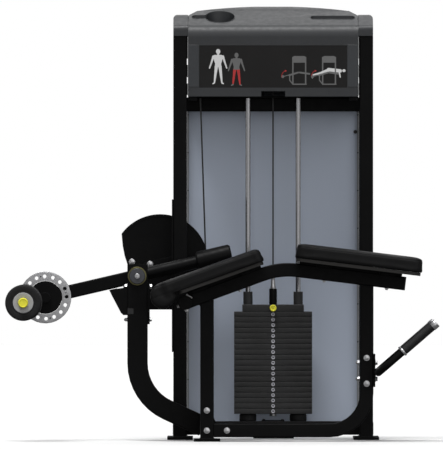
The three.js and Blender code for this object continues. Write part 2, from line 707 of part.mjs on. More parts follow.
function buildBench() {
  const bench = group(machine, [0, 0, 0]);
  place(bench, 'bench_left_post', leftPost(), BLACK_PAINT);
  place(bench, 'bench_lower_tube', lowerTube(), BLACK_PAINT);
  place(bench, 'bench_top_tube', benchTube(), BLACK_PAINT);
  place(bench, 'right_base_link', rightLink(), BLACK_PAINT);
  place(bench, 'handlebar', handlebar(), BLACK_PAINT);
  for (const [name, y] of [['grip_front', -GRIP_Y], ['grip_rear', GRIP_Y]]) {
    const sleeve = place(bench, name, gripSleeve(), RUBBER);
    sleeve.position.set(BAR_LOW.x, y, BAR_LOW.z);
    sleeve.rotation.y = (90 - BAR_SLOPE) * DEG;
  }
}

// ---------------------------------------------------------------- arm column

// Bent column that carries the front bearing, welded to the tube that links the bench to the tower.
function armColumn() {
  const lean = 24.5;
  const bendX = COLUMN_X;
  const slopeStart = [bendX, 290 - 193.5 * Math.tan((90 - lean) / 2 * DEG)];
  const toLink = pointAt(slopeStart, -lean, 270);
  const route = new Route(inPlane([[bendX, 661], slopeStart, toLink], COLUMN_Y), [193.5], FLAT);
  const column = cut(
    sweep(roundedRect(76.2, TUBE, TUBE_CORNER), route),
    block([POST_X, 0], [0, 400], [-200, 300]),
  );
  const link = frameTube('y', [LINK_FLANGE_Y[1] - 1, STACK_Y - TUBE - GAP], [POST_X, 0, 65],
    { size: [TUBE, 2 * TUBE] });
  const fillet = new THREE.Shape();
  fillet.moveTo(-274, 15.4);
  fillet.lineTo(-150, 15.4);
  fillet.lineTo(-150, 66);
  fillet.lineTo(-196, 66);
  fillet.absarc(-196, 93, 27, 1.5 * Math.PI, Math.PI, true);
  fillet.lineTo(-223, 141);
  fillet.lineTo(-274, 141);
  const flange = prism(fillet, 'y', LINK_FLANGE_Y);
  const front = COLUMN_Y - HALF;
  const housing = bar(33, 'y', [front - 10, COLUMN_Y + HALF + 3], [PIVOT.x, 0, PIVOT.z]);
  const doubler = block([-472, -463.5], around(COLUMN_Y, 20), [436, 590]);
  const web = [[-615, 564], [-606, 545], [-571.5, 479], [-562, 470], [-546, 470], [-546, 575]];
  const gusset = prism(outline(web), 'y', [front + 8, COLUMN_Y + HALF - 8]);
  const rest = [[-615, 564], [-606, 545], [-586, 545], [-586, 570.2]];
  const ledge = prism(outline(rest), 'y', [front + 8, ARM_Y + 18]);
  const trim = armClearance();
  const bore = bar(SHAFT_R + GAP, 'y', [front - 20, COLUMN_Y + 60], [PIVOT.x, 0, PIVOT.z]);
  const stop = cut(join(gusset, ledge), trim);
  return cut(join(column, link, flange, housing, doubler, stop), bore);
}

// The room that the arm's tube takes at rest, with a small gap below it.
function armClearance() {
  const lowEdge = HALF + 1;
  const at = (along, up) => {
    const [x, z] = pointAt([PIVOT.x, PIVOT.z], 180 + ARM_TILT, along);
    return pointAt([x, z], 90 + ARM_TILT, up);
  };
  const room = [at(0, -lowEdge), at(200, -lowEdge), at(200, 90), at(0, 90)];
  return prism(outline(room), 'y', [COLUMN_Y - 30, 400]);
}

// ---------------------------------------------------------------- arm, cam and roller
// The arm group stands at the pivot, tilted, with -X along the arm towards the roller.

const HUB_HALF = 26;
const RING_Y = [ARM_Y - HUB_HALF - 9.3, ARM_Y - HUB_HALF - GAP];   // adjusting disc
const CRANK_Y = [RING_Y[0] - 15, RING_Y[0] - 1.8];
const CRANK_AXLE_R = 12;
const STUD_R = 12;               // carries the counterweight
const ROLLER_AXLE_R = 12.5;
const PIN_R = 5;

// Hub, square tube to the disc with the crank's bearing, and the stub that holds the counterweight.
function leverArm() {
  const hub = bar(32, 'y', around(ARM_Y, HUB_HALF), [0, 0, 0]);
  const tube = frameTube('x', [DISC_X, -20], [0, ARM_Y, 0]);
  const bearing = bar(30, 'y', [ARM_Y - HALF, ARM_Y + HALF], [DISC_X, 0, 0]);
  const stub = bar(24.5, 'x', [20, 229 - GAP], [0, ARM_Y, 0]);
  const stud = bar(STUD_R, 'x', [220, 350], [0, ARM_Y, 0], 16);
  return cut(
    join(hub, tube, bearing, stub, stud),
    bar(SHAFT_R + GAP, 'y', [ARM_Y - 40, ARM_Y + 40], [0, 0, 0]),
    bar(CRANK_AXLE_R + GAP, 'y', [ARM_Y - 40, ARM_Y + 40], [DISC_X, 0, 0]),
  );
}

function counterweight() {
  const [start, end, r, bevel] = [229, 363, 38.5, 7];
  const profile = [
    [STUD_R + GAP, start], [r - bevel, start], [r, start + bevel],
    [r, end - bevel], [r - bevel, end], [STUD_R + GAP, end],
  ];
  return turned(profile, 'y', [0, 0, 0], 28).rotate([0, 0, -90]).translate([0, ARM_Y, 0]);
}

function pivotShaft() {
  return bar(SHAFT_R, 'y', [COLUMN_Y - HALF - 8, STACK_Y + 19], [0, 0, 0]);
}

// Ring with sixteen holes; the arm's line passes midway between two of them.
function adjustingDisc() {
  const profile = [
    [63, RING_Y[0]], [96, RING_Y[0]], [97.4, RING_Y[0] + 1.4], [97.4, RING_Y[1]], [63, RING_Y[1]],
  ];
  const ring = turned(profile, 'y', [DISC_X, 0, 0], 32);
  const holes = Array.from({ length: 16 }, (_, k) => {
    const [x, z] = pointAt([DISC_X, 0], 11.25 + 22.5 * k, DISC_HOLE_CIRCLE);
    return bar(7, 'y', [RING_Y[0] - 2, RING_Y[1] + 2], [x, 0, z], 10);
  });
  return cut(ring, ...holes);
}

// Crank: cover disc inside the ring, bar, axle with its rear washer, and the roller's hollow axle.
function rollerCrank() {
  const tip = -DISC_HOLE_CIRCLE;
  const cover = bar(62, 'y', [CRANK_Y[1] - 1, RING_Y[1] - GAP], [0, 0, 0], 28);
  const arm = new THREE.Shape();
  arm.absarc(0, 0, 19, -Math.PI / 2, Math.PI / 2);
  arm.absarc(tip, 0, 19, Math.PI / 2, 1.5 * Math.PI);
  const crank = prism(arm, 'y', CRANK_Y, 8);
  const boss = bar(18, 'y', [CRANK_Y[0] - 4, CRANK_Y[0] + 1], [0, 0, 0]);
  const axle = bar(CRANK_AXLE_R, 'y', [RING_Y[0], ARM_Y + 30], [0, 0, 0]);
  const washer = bar(18, 'y', [ARM_Y + HUB_HALF + GAP, ARM_Y + 32], [0, 0, 0]);
  const rollerAxle = bar(ROLLER_AXLE_R, 'y', [-ROLLER_HALF - 6, CRANK_Y[0] + 1], [tip, 0, 0]);
  const pinBore = bar(PIN_R + GAP, 'y', [-ROLLER_HALF - 20, CRANK_Y[1] + 5], [tip, 0, 0], 16);
  return cut(join(cover, crank, boss, axle, washer, rollerAxle), pinBore);
}

function rollerFoam() {
  const half = ROLLER_HALF;
  const bore = ROLLER_AXLE_R + GAP;
  const profile = [
    [bore, -half - 2], [38, -half - 2], [38, -half], [ROLLER_R - 8, -half], [ROLLER_R, -half + 8],
    [ROLLER_R, half - 8], [ROLLER_R - 8, half], [38, half], [38, half + 2], [bore, half + 2],
  ];
  return turned(profile, 'y', [0, 0, 0], 28);
}

// Yellow knob in front of the roller, with the pin that runs back through the hollow axle.
function pullKnob() {
  const knob = bar(19, 'y', [-ROLLER_HALF - 26, -ROLLER_HALF - 6 - GAP], [0, 0, 0], 28);
  const pin = bar(PIN_R, 'y', [-ROLLER_HALF - 10, RING_Y[0] - 0.6], [0, 0, 0], 12);
  return join(knob, pin);
}

// The cam's outline: the round part, the straight flank and the web to the hub.
function camOutline(radius) {
  const { x, z } = CAM_CENTRE;
  const flankTop = pointAt([x, z], CABLE_LEAN, radius);
  const flankFoot = pointAt(flankTop, leanDown, FLANK);
  const shape = new THREE.Shape();
  shape.moveTo(...flankFoot);
  shape.lineTo(...flankTop);
  shape.absarc(x, z, radius, CABLE_LEAN * DEG, 143.6 * DEG);
  const web = [
    [-567, 729], [-559.5, 691], [-550, 662], [-543, 634], [-500, 600], [-470, 607], [-430, 603],
    [-300, 536], [-272, flankFoot[1]],
  ];
  web.forEach((point) => shape.lineTo(...point));
  return shape;
}

// Cam with a groove for the cable round its rim and down its flank, and a hub on the shaft.
function cam() {
  const core = prism(camOutline(CAM_CABLE_R - CABLE_R - GAP), 'y', around(STACK_Y, 6), 16);
  const flange = (y) => prism(camOutline(CAM_R), 'y', around(y, 3.5), 20);
  const hub = bar(36, 'y', around(STACK_Y, 18), [PIVOT.x, 0, PIVOT.z]);
  const bore = bar(SHAFT_R + GAP, 'y', around(STACK_Y, 30), [PIVOT.x, 0, PIVOT.z]);
  return cut(join(core, flange(STACK_Y - 8.5), flange(STACK_Y + 8.5), hub), bore);
}

function buildArm() {
  const fixed = group(machine, [0, 0, 0]);
  place(fixed, 'arm_column', armColumn(), BLACK_PAINT);
  place(fixed, 'cam', cam(), BLACK_PAINT);
  const arm = group(machine, [PIVOT.x, 0, PIVOT.z], -ARM_TILT);
  place(arm, 'pivot_shaft', pivotShaft(), STEEL);
  place(arm, 'lever_arm', leverArm(), BLACK_PAINT);
  place(arm, 'counterweight', counterweight(), BLACK_PAINT);
  place(arm, 'adjusting_disc', adjustingDisc(), STEEL);
  const crank = group(arm, [DISC_X, 0, 0]);
  place(crank, 'roller_crank', rollerCrank(), BLACK_PAINT);
  const roller = group(crank, [-DISC_HOLE_CIRCLE, 0, 0]);
  place(roller, 'roller_foam', rollerFoam(), FOAM);
  place(roller, 'pull_knob', pullKnob(), YELLOW);
}

// ---------------------------------------------------------------- the whole machine

buildTower();
buildShroud();
buildStack();
buildCable();
buildBench();
buildPads();
buildArm();

// The origin goes to the middle of the footprint, on the floor.
const box = new THREE.Box3().setFromObject(machine);
const middle = box.getCenter(new THREE.Vector3());
machine.position.set(-middle.x, -middle.y, 0);

export default machine;
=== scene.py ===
import json
import math
import random

import bmesh
import bpy
from mathutils import Matrix, Vector
from mathutils.bvhtree import BVHTree


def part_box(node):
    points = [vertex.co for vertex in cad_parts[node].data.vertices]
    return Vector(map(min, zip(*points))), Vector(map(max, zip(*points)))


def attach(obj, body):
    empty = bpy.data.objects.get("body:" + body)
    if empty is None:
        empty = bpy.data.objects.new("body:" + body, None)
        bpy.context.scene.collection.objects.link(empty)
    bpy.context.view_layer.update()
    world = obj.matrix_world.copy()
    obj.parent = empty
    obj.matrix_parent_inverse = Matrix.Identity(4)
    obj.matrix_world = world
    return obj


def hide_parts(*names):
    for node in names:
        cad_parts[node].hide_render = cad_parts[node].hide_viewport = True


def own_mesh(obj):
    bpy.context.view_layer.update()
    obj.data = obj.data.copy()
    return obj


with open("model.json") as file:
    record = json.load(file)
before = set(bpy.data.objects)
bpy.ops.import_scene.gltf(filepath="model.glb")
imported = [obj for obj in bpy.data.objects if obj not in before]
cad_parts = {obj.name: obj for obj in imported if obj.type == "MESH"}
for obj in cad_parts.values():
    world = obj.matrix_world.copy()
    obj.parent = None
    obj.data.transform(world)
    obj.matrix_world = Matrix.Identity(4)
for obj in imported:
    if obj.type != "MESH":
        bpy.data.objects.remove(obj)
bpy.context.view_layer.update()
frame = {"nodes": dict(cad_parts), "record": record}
nodes = frame["nodes"]

# ---------------------------------------------------------------- places, from the frame

MM = 0.001
EAST, WEST = (1, 0, 0), (-1, 0, 0)
BACK, OUT = (0, 1, 0), (0, -1, 0)
UP, DOWN = (0, 0, 1), (0, 0, -1)
SIDES = (("left", -1), ("right", 1))
ENDS = (("front", -1), ("rear", 1))


def middle(node, axis):
    low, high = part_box(node)
    return (low[axis] + high[axis]) / 2


TOWER_X = (middle("tower_left_frame", 0) + middle("tower_right_frame", 0)) / 2
BENCH_Y = middle("bench_lower_tube", 1)
STACK_Y = middle("head_plate", 1)


def at(x, y, z):
    """A point in mm from the tower's middle plane, the bench's middle plane and the floor."""
    return Vector((TOWER_X + x * MM, BENCH_Y + y * MM, z * MM))


PIVOT = at(-510, 0, 616.2)
ARM_TILT = math.radians(13.1)
ARM_MATRIX = Matrix.Translation(PIVOT) @ Matrix.Rotation(-ARM_TILT, 4, "Y")


def on_arm(x, y, z):
    """A point in mm on the arm: -x along it towards the roller, y from the bench's middle plane."""
    return ARM_MATRIX @ Vector((x * MM, y * MM, z * MM))


# ---------------------------------------------------------------- materials


def assign(target, settings):
    for key, value in settings.items():
        setattr(target, key, value)
    return target


def fill(node, **inputs):
    """Sets a node's inputs, with _ for the space in their names."""
    for socket, value in inputs.items():
        node.inputs[socket.replace("_", " ")].default_value = value
    return node


class Shader:
    """A small helper that wires procedural textures into one Principled BSDF."""

    def __init__(self, name, color, roughness, metallic=0.0, **sockets):
        self.material = bpy.data.materials.new(name)
        self.material.use_nodes = True
        self.tree = self.material.node_tree
        self.bsdf = self.tree.nodes["Principled BSDF"]
        fill(self.bsdf, Base_Color=(*color, 1), Roughness=roughness, Metallic=metallic, **sockets)
        self.height = None
        self.place = self.node("ShaderNodeTexCoord").outputs["Object"]

    def node(self, kind, **settings):
        return assign(self.tree.nodes.new(kind), settings)

    def link(self, source, target):
        self.tree.links.new(source, target)

    def stretched(self, scale):
        mapping = fill(self.node("ShaderNodeMapping"), Scale=scale)
        self.link(self.place, mapping.inputs["Vector"])
        return mapping.outputs["Vector"]

    def noise(self, scale, detail=3.0, rough=0.55, vector=None):
        texture = fill(self.node("ShaderNodeTexNoise"), Scale=scale, Detail=detail, Roughness=rough)
        self.link(vector or self.place, texture.inputs["Vector"])
        return texture.outputs["Fac"]

    def cells(self, scale, feature="SMOOTH_F1"):
        texture = fill(self.node("ShaderNodeTexVoronoi", feature=feature), Scale=scale)
        self.link(self.place, texture.inputs["Vector"])
        return texture.outputs["Distance"]

    def ramp(self, factor, stops):
        ramp = self.node("ShaderNodeValToRGB")
        elements = ramp.color_ramp.elements
        while len(elements) < len(stops):
            elements.new(0.5)
        for element, (position, color) in zip(elements, stops):
            element.position = position
            element.color = (*color, 1)
        self.link(factor, ramp.inputs["Fac"])
        return ramp.outputs["Color"]

    def spread(self, factor, low, high):
        """A factor around 0.5 spread to run from low to high."""
        span = fill(self.node("ShaderNodeMapRange"), From_Min=0.3, From_Max=0.7, To_Min=low, To_Max=high)
        self.link(factor, span.inputs["Value"])
        return span.outputs["Result"]

    def mix(self, factor, first, second):
        mixer = self.node("ShaderNodeMix", data_type="RGBA")
        self.link(factor, mixer.inputs["Factor"])
        for socket, value in ((6, first), (7, second)):
            if isinstance(value, tuple):
                mixer.inputs[socket].default_value = (*value, 1)
            else:
                self.link(value, mixer.inputs[socket])
        return mixer.outputs[2]

    def edge_highlight_mask(self, radius, strength):
        """1 along sharp edges and 0 on flat faces; the mask for a painted highlight along the edges."""
        bevel = fill(self.node("ShaderNodeBevel", samples=4), Radius=radius)
        geometry = self.node("ShaderNodeNewGeometry")
        dot = self.node("ShaderNodeVectorMath", operation="DOT_PRODUCT")
        self.link(bevel.outputs["Normal"], dot.inputs[0])
        self.link(geometry.outputs["Normal"], dot.inputs[1])
        span = fill(self.node("ShaderNodeMapRange"), From_Min=0.995, From_Max=0.8, To_Max=strength)
        self.link(dot.outputs["Value"], span.inputs["Value"])
        return span.outputs["Result"]

    def color(self, output):
        self.link(output, self.bsdf.inputs["Base Color"])

    def roughness(self, output):
        self.link(output, self.bsdf.inputs["Roughness"])

    def bump(self, height, strength, distance):
        bump = fill(self.node("ShaderNodeBump"), Strength=strength, Distance=distance)
        self.link(height, bump.inputs["Height"])
        if self.height is not None:
            self.link(self.height, bump.inputs["Normal"])
        self.height = bump.outputs["Normal"]
        self.link(self.height, self.bsdf.inputs["Normal"])


def powder_coat(name, dark, light):
    """Satin powder coat: orange peel, faint cloudiness and a painted highlight along the sharp edges."""
    shader = Shader(name, dark, 0.42, Specular_IOR_Level=0.07)
    cloud = shader.noise(5, 4)
    tint = shader.ramp(cloud, [(0.35, dark), (0.7, light)])
    # painted highlight: the sharp edges are lightened in the colour, standing in for light caught on them
    edge = shader.edge_highlight_mask(0.0025, 0.5)
    shader.color(shader.mix(edge, tint, tuple(min(1, 3.2 * c) for c in light)))
    shader.roughness(shader.spread(shader.noise(60, 3), 0.36, 0.5))
    shader.bump(shader.noise(650, 2, 0.5), 0.12, 0.0002)
    shader.bump(shader.noise(2200, 1, 0.5), 0.05, 0.0001)
    return shader.material


def pad_vinyl():
    """Upholstery vinyl: fine pebble grain, soft sheen and slight cloudiness."""
    shader = Shader("pad_vinyl", (0.006, 0.006, 0.0062), 0.5, Specular_IOR_Level=0.12)
    cloud = shader.noise(9, 4)
    tint = shader.ramp(cloud, [(0.3, (0.0055, 0.0055, 0.0058)), (0.75, (0.0085, 0.0085, 0.0088))])
    pebble = shader.cells(620)
    valley = shader.ramp(pebble, [(0.25, (1, 1, 1)), (0.75, (0.55, 0.55, 0.55))])
    darker = shader.node("ShaderNodeMix", data_type="RGBA", blend_type="MULTIPLY")
    darker.inputs["Factor"].default_value = 0.7
    shader.link(tint, darker.inputs[6])
    shader.link(valley, darker.inputs[7])
    shader.color(darker.outputs[2])
    shader.roughness(shader.spread(shader.noise(40, 3), 0.42, 0.56))
    shader.bump(pebble, 0.35, 0.00035)
    shader.bump(shader.noise(1900, 3), 0.12, 0.0001)
    shader.bump(shader.noise(26, 3), 0.18, 0.0012)
    return shader.material


def stack_iron():
    """Textured dark enamel on cast plates, with a painted highlight along the edges."""
    shader = Shader("stack_iron", (0.024, 0.024, 0.024), 0.55, Specular_IOR_Level=0.3)
    tint = shader.ramp(shader.noise(14, 4), [(0.3, (0.02, 0.02, 0.02)), (0.75, (0.03, 0.03, 0.031))])
    # painted highlight: the plates' edges are lightened in the colour, standing in for light caught on them
    edge = shader.edge_highlight_mask(0.002, 0.7)
    shader.color(shader.mix(edge, tint, (0.13, 0.13, 0.135)))
    shader.roughness(shader.spread(shader.noise(90, 2), 0.46, 0.66))
    shader.bump(shader.cells(950), 0.22, 0.0003)
    return shader.material


def bright_metal(name, color, roughness, grain, strength):
    """Machined or plated metal with fine lines along the mapping's long axis."""
    shader = Shader(name, color, roughness, 1.0)
    lines = shader.noise(1, 4, 0.6, shader.stretched(grain))
    lift = tuple(min(1.0, 1.18 * c) for c in color)
    shader.color(shader.ramp(lines, [(0.3, color), (0.75, lift)]))
    shader.roughness(shader.spread(lines, roughness * 0.75, roughness * 1.35))
    shader.bump(lines, strength, 0.0001)
    return shader.material


def soft_black(name, color, roughness, cell, depth):
    """Rubber or foam: matt, with a fine cell or grain structure."""
    shader = Shader(name, color, roughness, Specular_IOR_Level=0.35)
    cloud = shader.noise(22, 4)
    lift = tuple(1.7 * c for c in color)
    shader.color(shader.ramp(cloud, [(0.3, color), (0.8, lift)]))
    shader.roughness(shader.spread(shader.noise(120, 3), roughness - 0.08, min(1, roughness + 0.06)))
    shader.bump(shader.cells(cell, "F1"), 0.3, depth)
    shader.bump(shader.noise(cell * 1.7, 3), 0.2, depth * 0.6)
    return shader.material


def moulded_plastic(name, color, roughness, grain, strength, specular):
    """Moulded plastic with a spark-eroded grain and faint flow marks."""
    shader = Shader(name, color, roughness, Specular_IOR_Level=specular)
    lift = tuple(min(1, 1.25 * c) for c in color)
    shader.color(shader.ramp(shader.noise(7, 3), [(0.3, color), (0.8, lift)]))
    shader.roughness(shader.spread(shader.noise(55, 3), roughness - 0.05, roughness + 0.07))
    shader.bump(shader.cells(grain), strength, 0.00018)
    shader.bump(shader.noise(4, 2), 0.05, 0.002)
    return shader.material


def frosted_sheet():
    """Frosted blue-grey acrylic: milky depth, fine etched surface."""
    shader = Shader("frosted_sheet", (0.56, 0.625, 0.75), 0.42, Coat_Weight=0.1, IOR=1.49)
    haze = shader.noise(1.6, 2, 0.4)
    shader.color(shader.ramp(haze, [(0.3, (0.53, 0.595, 0.72)), (0.75, (0.58, 0.65, 0.78))]))
    shader.roughness(shader.spread(shader.noise(300, 2), 0.38, 0.5))
    shader.bump(shader.noise(1500, 2), 0.08, 0.0001)
    return shader.material


def pad_board():
    """Painted plywood: grain lines under a dark stain."""
    shader = Shader("pad_board", (0.009, 0.008, 0.007), 0.7)
    grain = shader.noise(1, 5, 0.6, shader.stretched((14, 320, 320)))
    shader.color(shader.ramp(grain, [(0.3, (0.006, 0.0055, 0.005)), (0.75, (0.013, 0.011, 0.009))]))
    shader.roughness(shader.spread(grain, 0.6, 0.8))
    shader.bump(grain, 0.25, 0.0004)
    return shader.material


# name: colour, roughness, grain scale, grain strength, specular level
PLASTICS = {
    "shroud_plastic": ((0.0205, 0.0222, 0.025), 0.46, 1300, 0.16, 0.5),
    # trim_plastic is a lighter copy of shroud_plastic: painted light for the front's rounded corners
    "trim_plastic": ((0.027, 0.030, 0.034), 0.44, 1300, 0.16, 0.5),
    "dark_plastic": ((0.009, 0.009, 0.01), 0.42, 1500, 0.12, 0.5),
    "pulley_nylon": ((0.02, 0.02, 0.02), 0.5, 1500, 0.1, 0.5),
    "coated_cable": ((0.009, 0.009, 0.0095), 0.34, 2500, 0.05, 0.5),
    "yellow_plastic": ((0.83, 0.77, 0.06), 0.33, 2200, 0.06, 0.2),
    "grey_plastic": ((0.36, 0.36, 0.37), 0.45, 1600, 0.08, 0.5),
    "cap_grey": ((0.042, 0.044, 0.052), 0.38, 1600, 0.08, 0.5),
    "placard_face": ((0.010, 0.0094, 0.0094), 0.4, 2600, 0.03, 0.2),
    "print_light": ((0.68, 0.68, 0.68), 0.45, 2600, 0.02, 0.5),
    "print_mid": ((0.13, 0.13, 0.13), 0.45, 2600, 0.02, 0.5),
    "print_red": ((0.42, 0.02, 0.02), 0.45, 2600, 0.02, 0.5),
    "strip_grey": ((0.3, 0.31, 0.33), 0.4, 1600, 0.05, 0.5),
    "seam_thread": ((0.03, 0.03, 0.032), 0.7, 2600, 0.2, 0.5),
    "bush_white": ((0.5, 0.5, 0.54), 0.4, 1600, 0.04, 0.5),
}
# name: colour, roughness, stretch of the grain, grain strength
METALS = {
    "rod_chrome": ((0.27, 0.27, 0.28), 0.2, (900, 900, 6), 0.03),
    "bright_steel": ((0.42, 0.42, 0.43), 0.36, (500, 30, 500), 0.08),
    "zinc_bolt": ((0.5, 0.5, 0.51), 0.34, (700, 700, 700), 0.1),
    "ring_olive": ((0.13, 0.12, 0.06), 0.4, (500, 500, 500), 0.08),
}
M = {
    "black_paint": powder_coat("black_paint", (0.0034, 0.0034, 0.0036), (0.0048, 0.0048, 0.005)),
    "stack_iron": stack_iron(),
    "black_rubber": soft_black("black_rubber", (0.009, 0.009, 0.0095), 0.72, 900, 0.0004),
    "roller_foam": soft_black("roller_foam", (0.0085, 0.0085, 0.009), 0.84, 1100, 0.0005),
    "pad_vinyl": pad_vinyl(),
    "pad_board": pad_board(),
    "frosted_sheet": frosted_sheet(),
    **{name: moulded_plastic(name, *values) for name, values in PLASTICS.items()},
    **{name: bright_metal(name, *values) for name, values in METALS.items()},
}

# ---------------------------------------------------------------- mesh helpers


def finish_piece(obj, material, body, smooth=40.0):
    """Material, shading that is smooth below an angle in degrees, and the body the piece rides on."""
    mesh = obj.data
    mesh.materials.clear()
    mesh.materials.append(M[material])
    if smooth is not None:
        mesh.polygons.foreach_set("use_smooth", [True] * len(mesh.polygons))
        mesh.set_sharp_from_angle(angle=math.radians(smooth))
    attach(obj, body)
    return obj


def mesh_object(name, bm):
    bmesh.ops.recalc_face_normals(bm, faces=bm.faces)
    mesh = bpy.data.meshes.new(name)
    bm.to_mesh(mesh)
    bm.free()
    obj = bpy.data.objects.new(name, mesh)
    bpy.context.scene.collection.objects.link(obj)
    return obj


def bridge(bm, rings, caps=True):
    """Quads from each ring of vertices to the next and, with caps, a face over each end."""
    for lower, upper in zip(rings, rings[1:]):
        for k in range(len(lower)):
            n = (k + 1) % len(lower)
            bm.faces.new([lower[k], lower[n], upper[n], upper[k]])
    if caps:
        bm.faces.new(rings[0][::-1])
        bm.faces.new(rings[-1])


def facing(axis):
    """Rotation that takes +Z to the given direction."""
    return Vector(axis).normalized().to_track_quat("Z", "Y").to_matrix().to_4x4()


def add_lathe(bm, profile, place, segments=40):
    """Revolves (radius, height) points, in mm, about local Z and joins the first to the last."""
    rings = []
    for radius, height in profile:
        if radius < 1e-6:
            rings.append([bm.verts.new(place @ Vector((0, 0, height * MM)))])
            continue
        ring = []
        for k in range(segments):
            turn = 2 * math.pi * k / segments
            point = Vector((radius * MM * math.cos(turn), radius * MM * math.sin(turn), height * MM))
            ring.append(bm.verts.new(place @ point))
        rings.append(ring)
    closed = profile[0][0] > 1e-6
    pairs = list(zip(rings, rings[1:])) + ([(rings[-1], rings[0])] if closed else [])
    for lower, upper in pairs:
        for k in range(segments):
            n = (k + 1) % segments
            corners = [ring[j % len(ring)] for ring, j in ((lower, k), (lower, n), (upper, n), (upper, k))]
            unique = list(dict.fromkeys(corners))
            if len(unique) > 2:
                bm.faces.new(unique)


def lathe(name, profile, point, axis, material, body, segments=40, smooth=35.0):
    bm = bmesh.new()
    add_lathe(bm, profile, Matrix.Translation(point) @ facing(axis), segments)
    return finish_piece(mesh_object(name, bm), material, body, smooth)


def add_hex(bm, across, low, high, chamfer, place):
    """A hexagon bar with its upper corners turned off, in mm."""
    radius = across / math.sqrt(3)
    rings = []
    for scale, height in ((1, low), (1, high - chamfer * 0.5), (1 - chamfer / radius, high)):
        ring = []
        for k in range(6):
            turn = math.radians(60 * k)
            x, y = radius * scale * math.cos(turn), radius * scale * math.sin(turn)
            ring.append(bm.verts.new(place @ Vector((x * MM, y * MM, height * MM))))
        rings.append(ring)
    bridge(bm, rings)


def bolt(name, point, axis, across, head, washer, nut=False, body="root"):
    """A hexagon head, or a domed nut, on its washer; axis points out of the surface, sizes in mm."""
    bm = bmesh.new()
    place = Matrix.Translation(point) @ facing(axis)
    half = washer / 2
    disc = [(0, 0.1), (half - 0.4, 0.1), (half, 0.6), (half, 1.6), (half - 0.5, 2.1), (0, 2.1)]
    add_lathe(bm, disc, place, 32)
    add_hex(bm, across, 2.0, 2.0 + head, 0.6 if nut else 1.4, place)
    if nut:
        foot, rise = 1.6 + head, across * 0.4
        turns = [math.radians(a) for a in range(0, 90, 15)]
        dome = [(across * 0.43 * math.cos(t), foot + rise * math.sin(t)) for t in turns]
        add_lathe(bm, [(0, foot - 0.6), *dome, (0, foot + rise)], place, 28)
    return finish_piece(mesh_object(name, bm), "zinc_bolt", body, 30)


def socket_screw(name, point, axis, body, radius=6, height=4, material="zinc_bolt"):
    """A button-head screw with a hexagon socket."""
    bm = bmesh.new()
    place = Matrix.Translation(point) @ facing(axis)
    r, h = radius, height
    dome = [(0, 0.05), (r, 0.05), (r, h * 0.35), (r * 0.9, h * 0.7), (r * 0.66, h * 0.94), (r * 0.46, h)]
    add_lathe(bm, [*dome, (r * 0.44, h * 0.45), (0, h * 0.4)], place, 24)
    return finish_piece(mesh_object(name, bm), material, body, 35)


def add_tube(bm, path, radius, sides=12, closed=False):
    """A round tube, in metres, along a list of points."""
    points = [Vector(p) for p in path]
    count = len(points)
    rings = []
    normal = None
    for k, point in enumerate(points):
        before = points[(k - 1) % count] if closed or k else points[0]
        after = points[(k + 1) % count] if closed or k < count - 1 else points[-1]
        tangent = (after - before).normalized()
        if normal is None:
            normal = tangent.orthogonal().normalized()
        normal = (normal - tangent * normal.dot(tangent)).normalized()
        across = tangent.cross(normal)
        ring = []
        for s in range(sides):
            turn = 2 * math.pi * s / sides
            ring.append(bm.verts.new(point + (normal * math.cos(turn) + across * math.sin(turn)) * radius))
        rings.append(ring)
    if closed:
        last, first = rings[-1], rings[0]
        twist = min(range(sides), key=lambda s: (last[0].co - first[s].co).length)
        rings.append(first[twist:] + first[:twist])
    bridge(bm, rings, caps=not closed)


def tube(name, path, radius, material, body, sides=12, closed=False):
    bm = bmesh.new()
    add_tube(bm, path, radius, sides, closed)
    return finish_piece(mesh_object(name, bm), material, body, 50)


def add_slab(bm, outline, matrix, thick, bevel=0.0):
    """A flat outline of (x, y) in metres, raised by thick along local Z, with a small top bevel."""
    loops = []
    centre = sum((Vector(p) for p in outline), Vector((0, 0))) / len(outline)
    levels = [(0.0, 0.0), (thick - bevel, 0.0)] + ([(thick, bevel)] if bevel else [])
    for height, inset in levels:
        loop = []
        for p in outline:
            v = Vector(p)
            pull = (centre - v).normalized() * inset
            loop.append(bm.verts.new(matrix @ Vector((v.x + pull.x, v.y + pull.y, height))))
        loops.append(loop)
    bridge(bm, loops)


def rounded_outline(width, height, radius, steps=5):
    """Points round a rectangle with round corners, centred on the origin, in metres."""
    points = []
    for cx, cy, start in ((1, 1, 0), (-1, 1, 90), (-1, -1, 180), (1, -1, 270)):
        for k in range(steps + 1):
            turn = math.radians(start + 90 * k / steps)
            points.append((cx * (width / 2 - radius) + radius * math.cos(turn),
                           cy * (height / 2 - radius) + radius * math.sin(turn)))
    return points


def plate(name, size, point, material, normal=OUT, up=UP, bevel=0.0, body="root", steps=5):
    """A thin plate facing along normal; size is its width, height along up, corner and thickness in mm."""
    width, height, corner, thick = (value * MM for value in size)
    z = Vector(normal).normalized()
    y = (Vector(up) - z * Vector(up).dot(z)).normalized()
    basis = Matrix((y.cross(z), y, z)).transposed().to_4x4()
    bm = bmesh.new()
    outline = rounded_outline(width, height, corner, steps)
    add_slab(bm, outline, Matrix.Translation(point) @ basis, thick, bevel * MM)
    return finish_piece(mesh_object(name, bm), material, body, 30)


# ---------------------------------------------------------------- camera, stage and light

VIEW_CENTRE = at(-194.4, 0, 807.6)
VIEW_HEIGHT = 1.680
LENS, SENSOR = 1100.0, 36.0


def make_camera():
    """A very long lens, so the view is a flat front elevation."""
    data = bpy.data.cameras.new("camera")
    data.lens = LENS
    data.sensor_width = SENSOR
    distance = VIEW_HEIGHT * LENS / SENSOR
    camera = bpy.data.objects.new("camera", data)
    camera.location = VIEW_CENTRE + Vector((0, -distance, 0))
    camera.rotation_euler = (math.pi / 2, 0, 0)
    data.clip_start, data.clip_end = 1.0, distance + 60
    bpy.context.scene.collection.objects.link(camera)
    bpy.context.scene.camera = camera


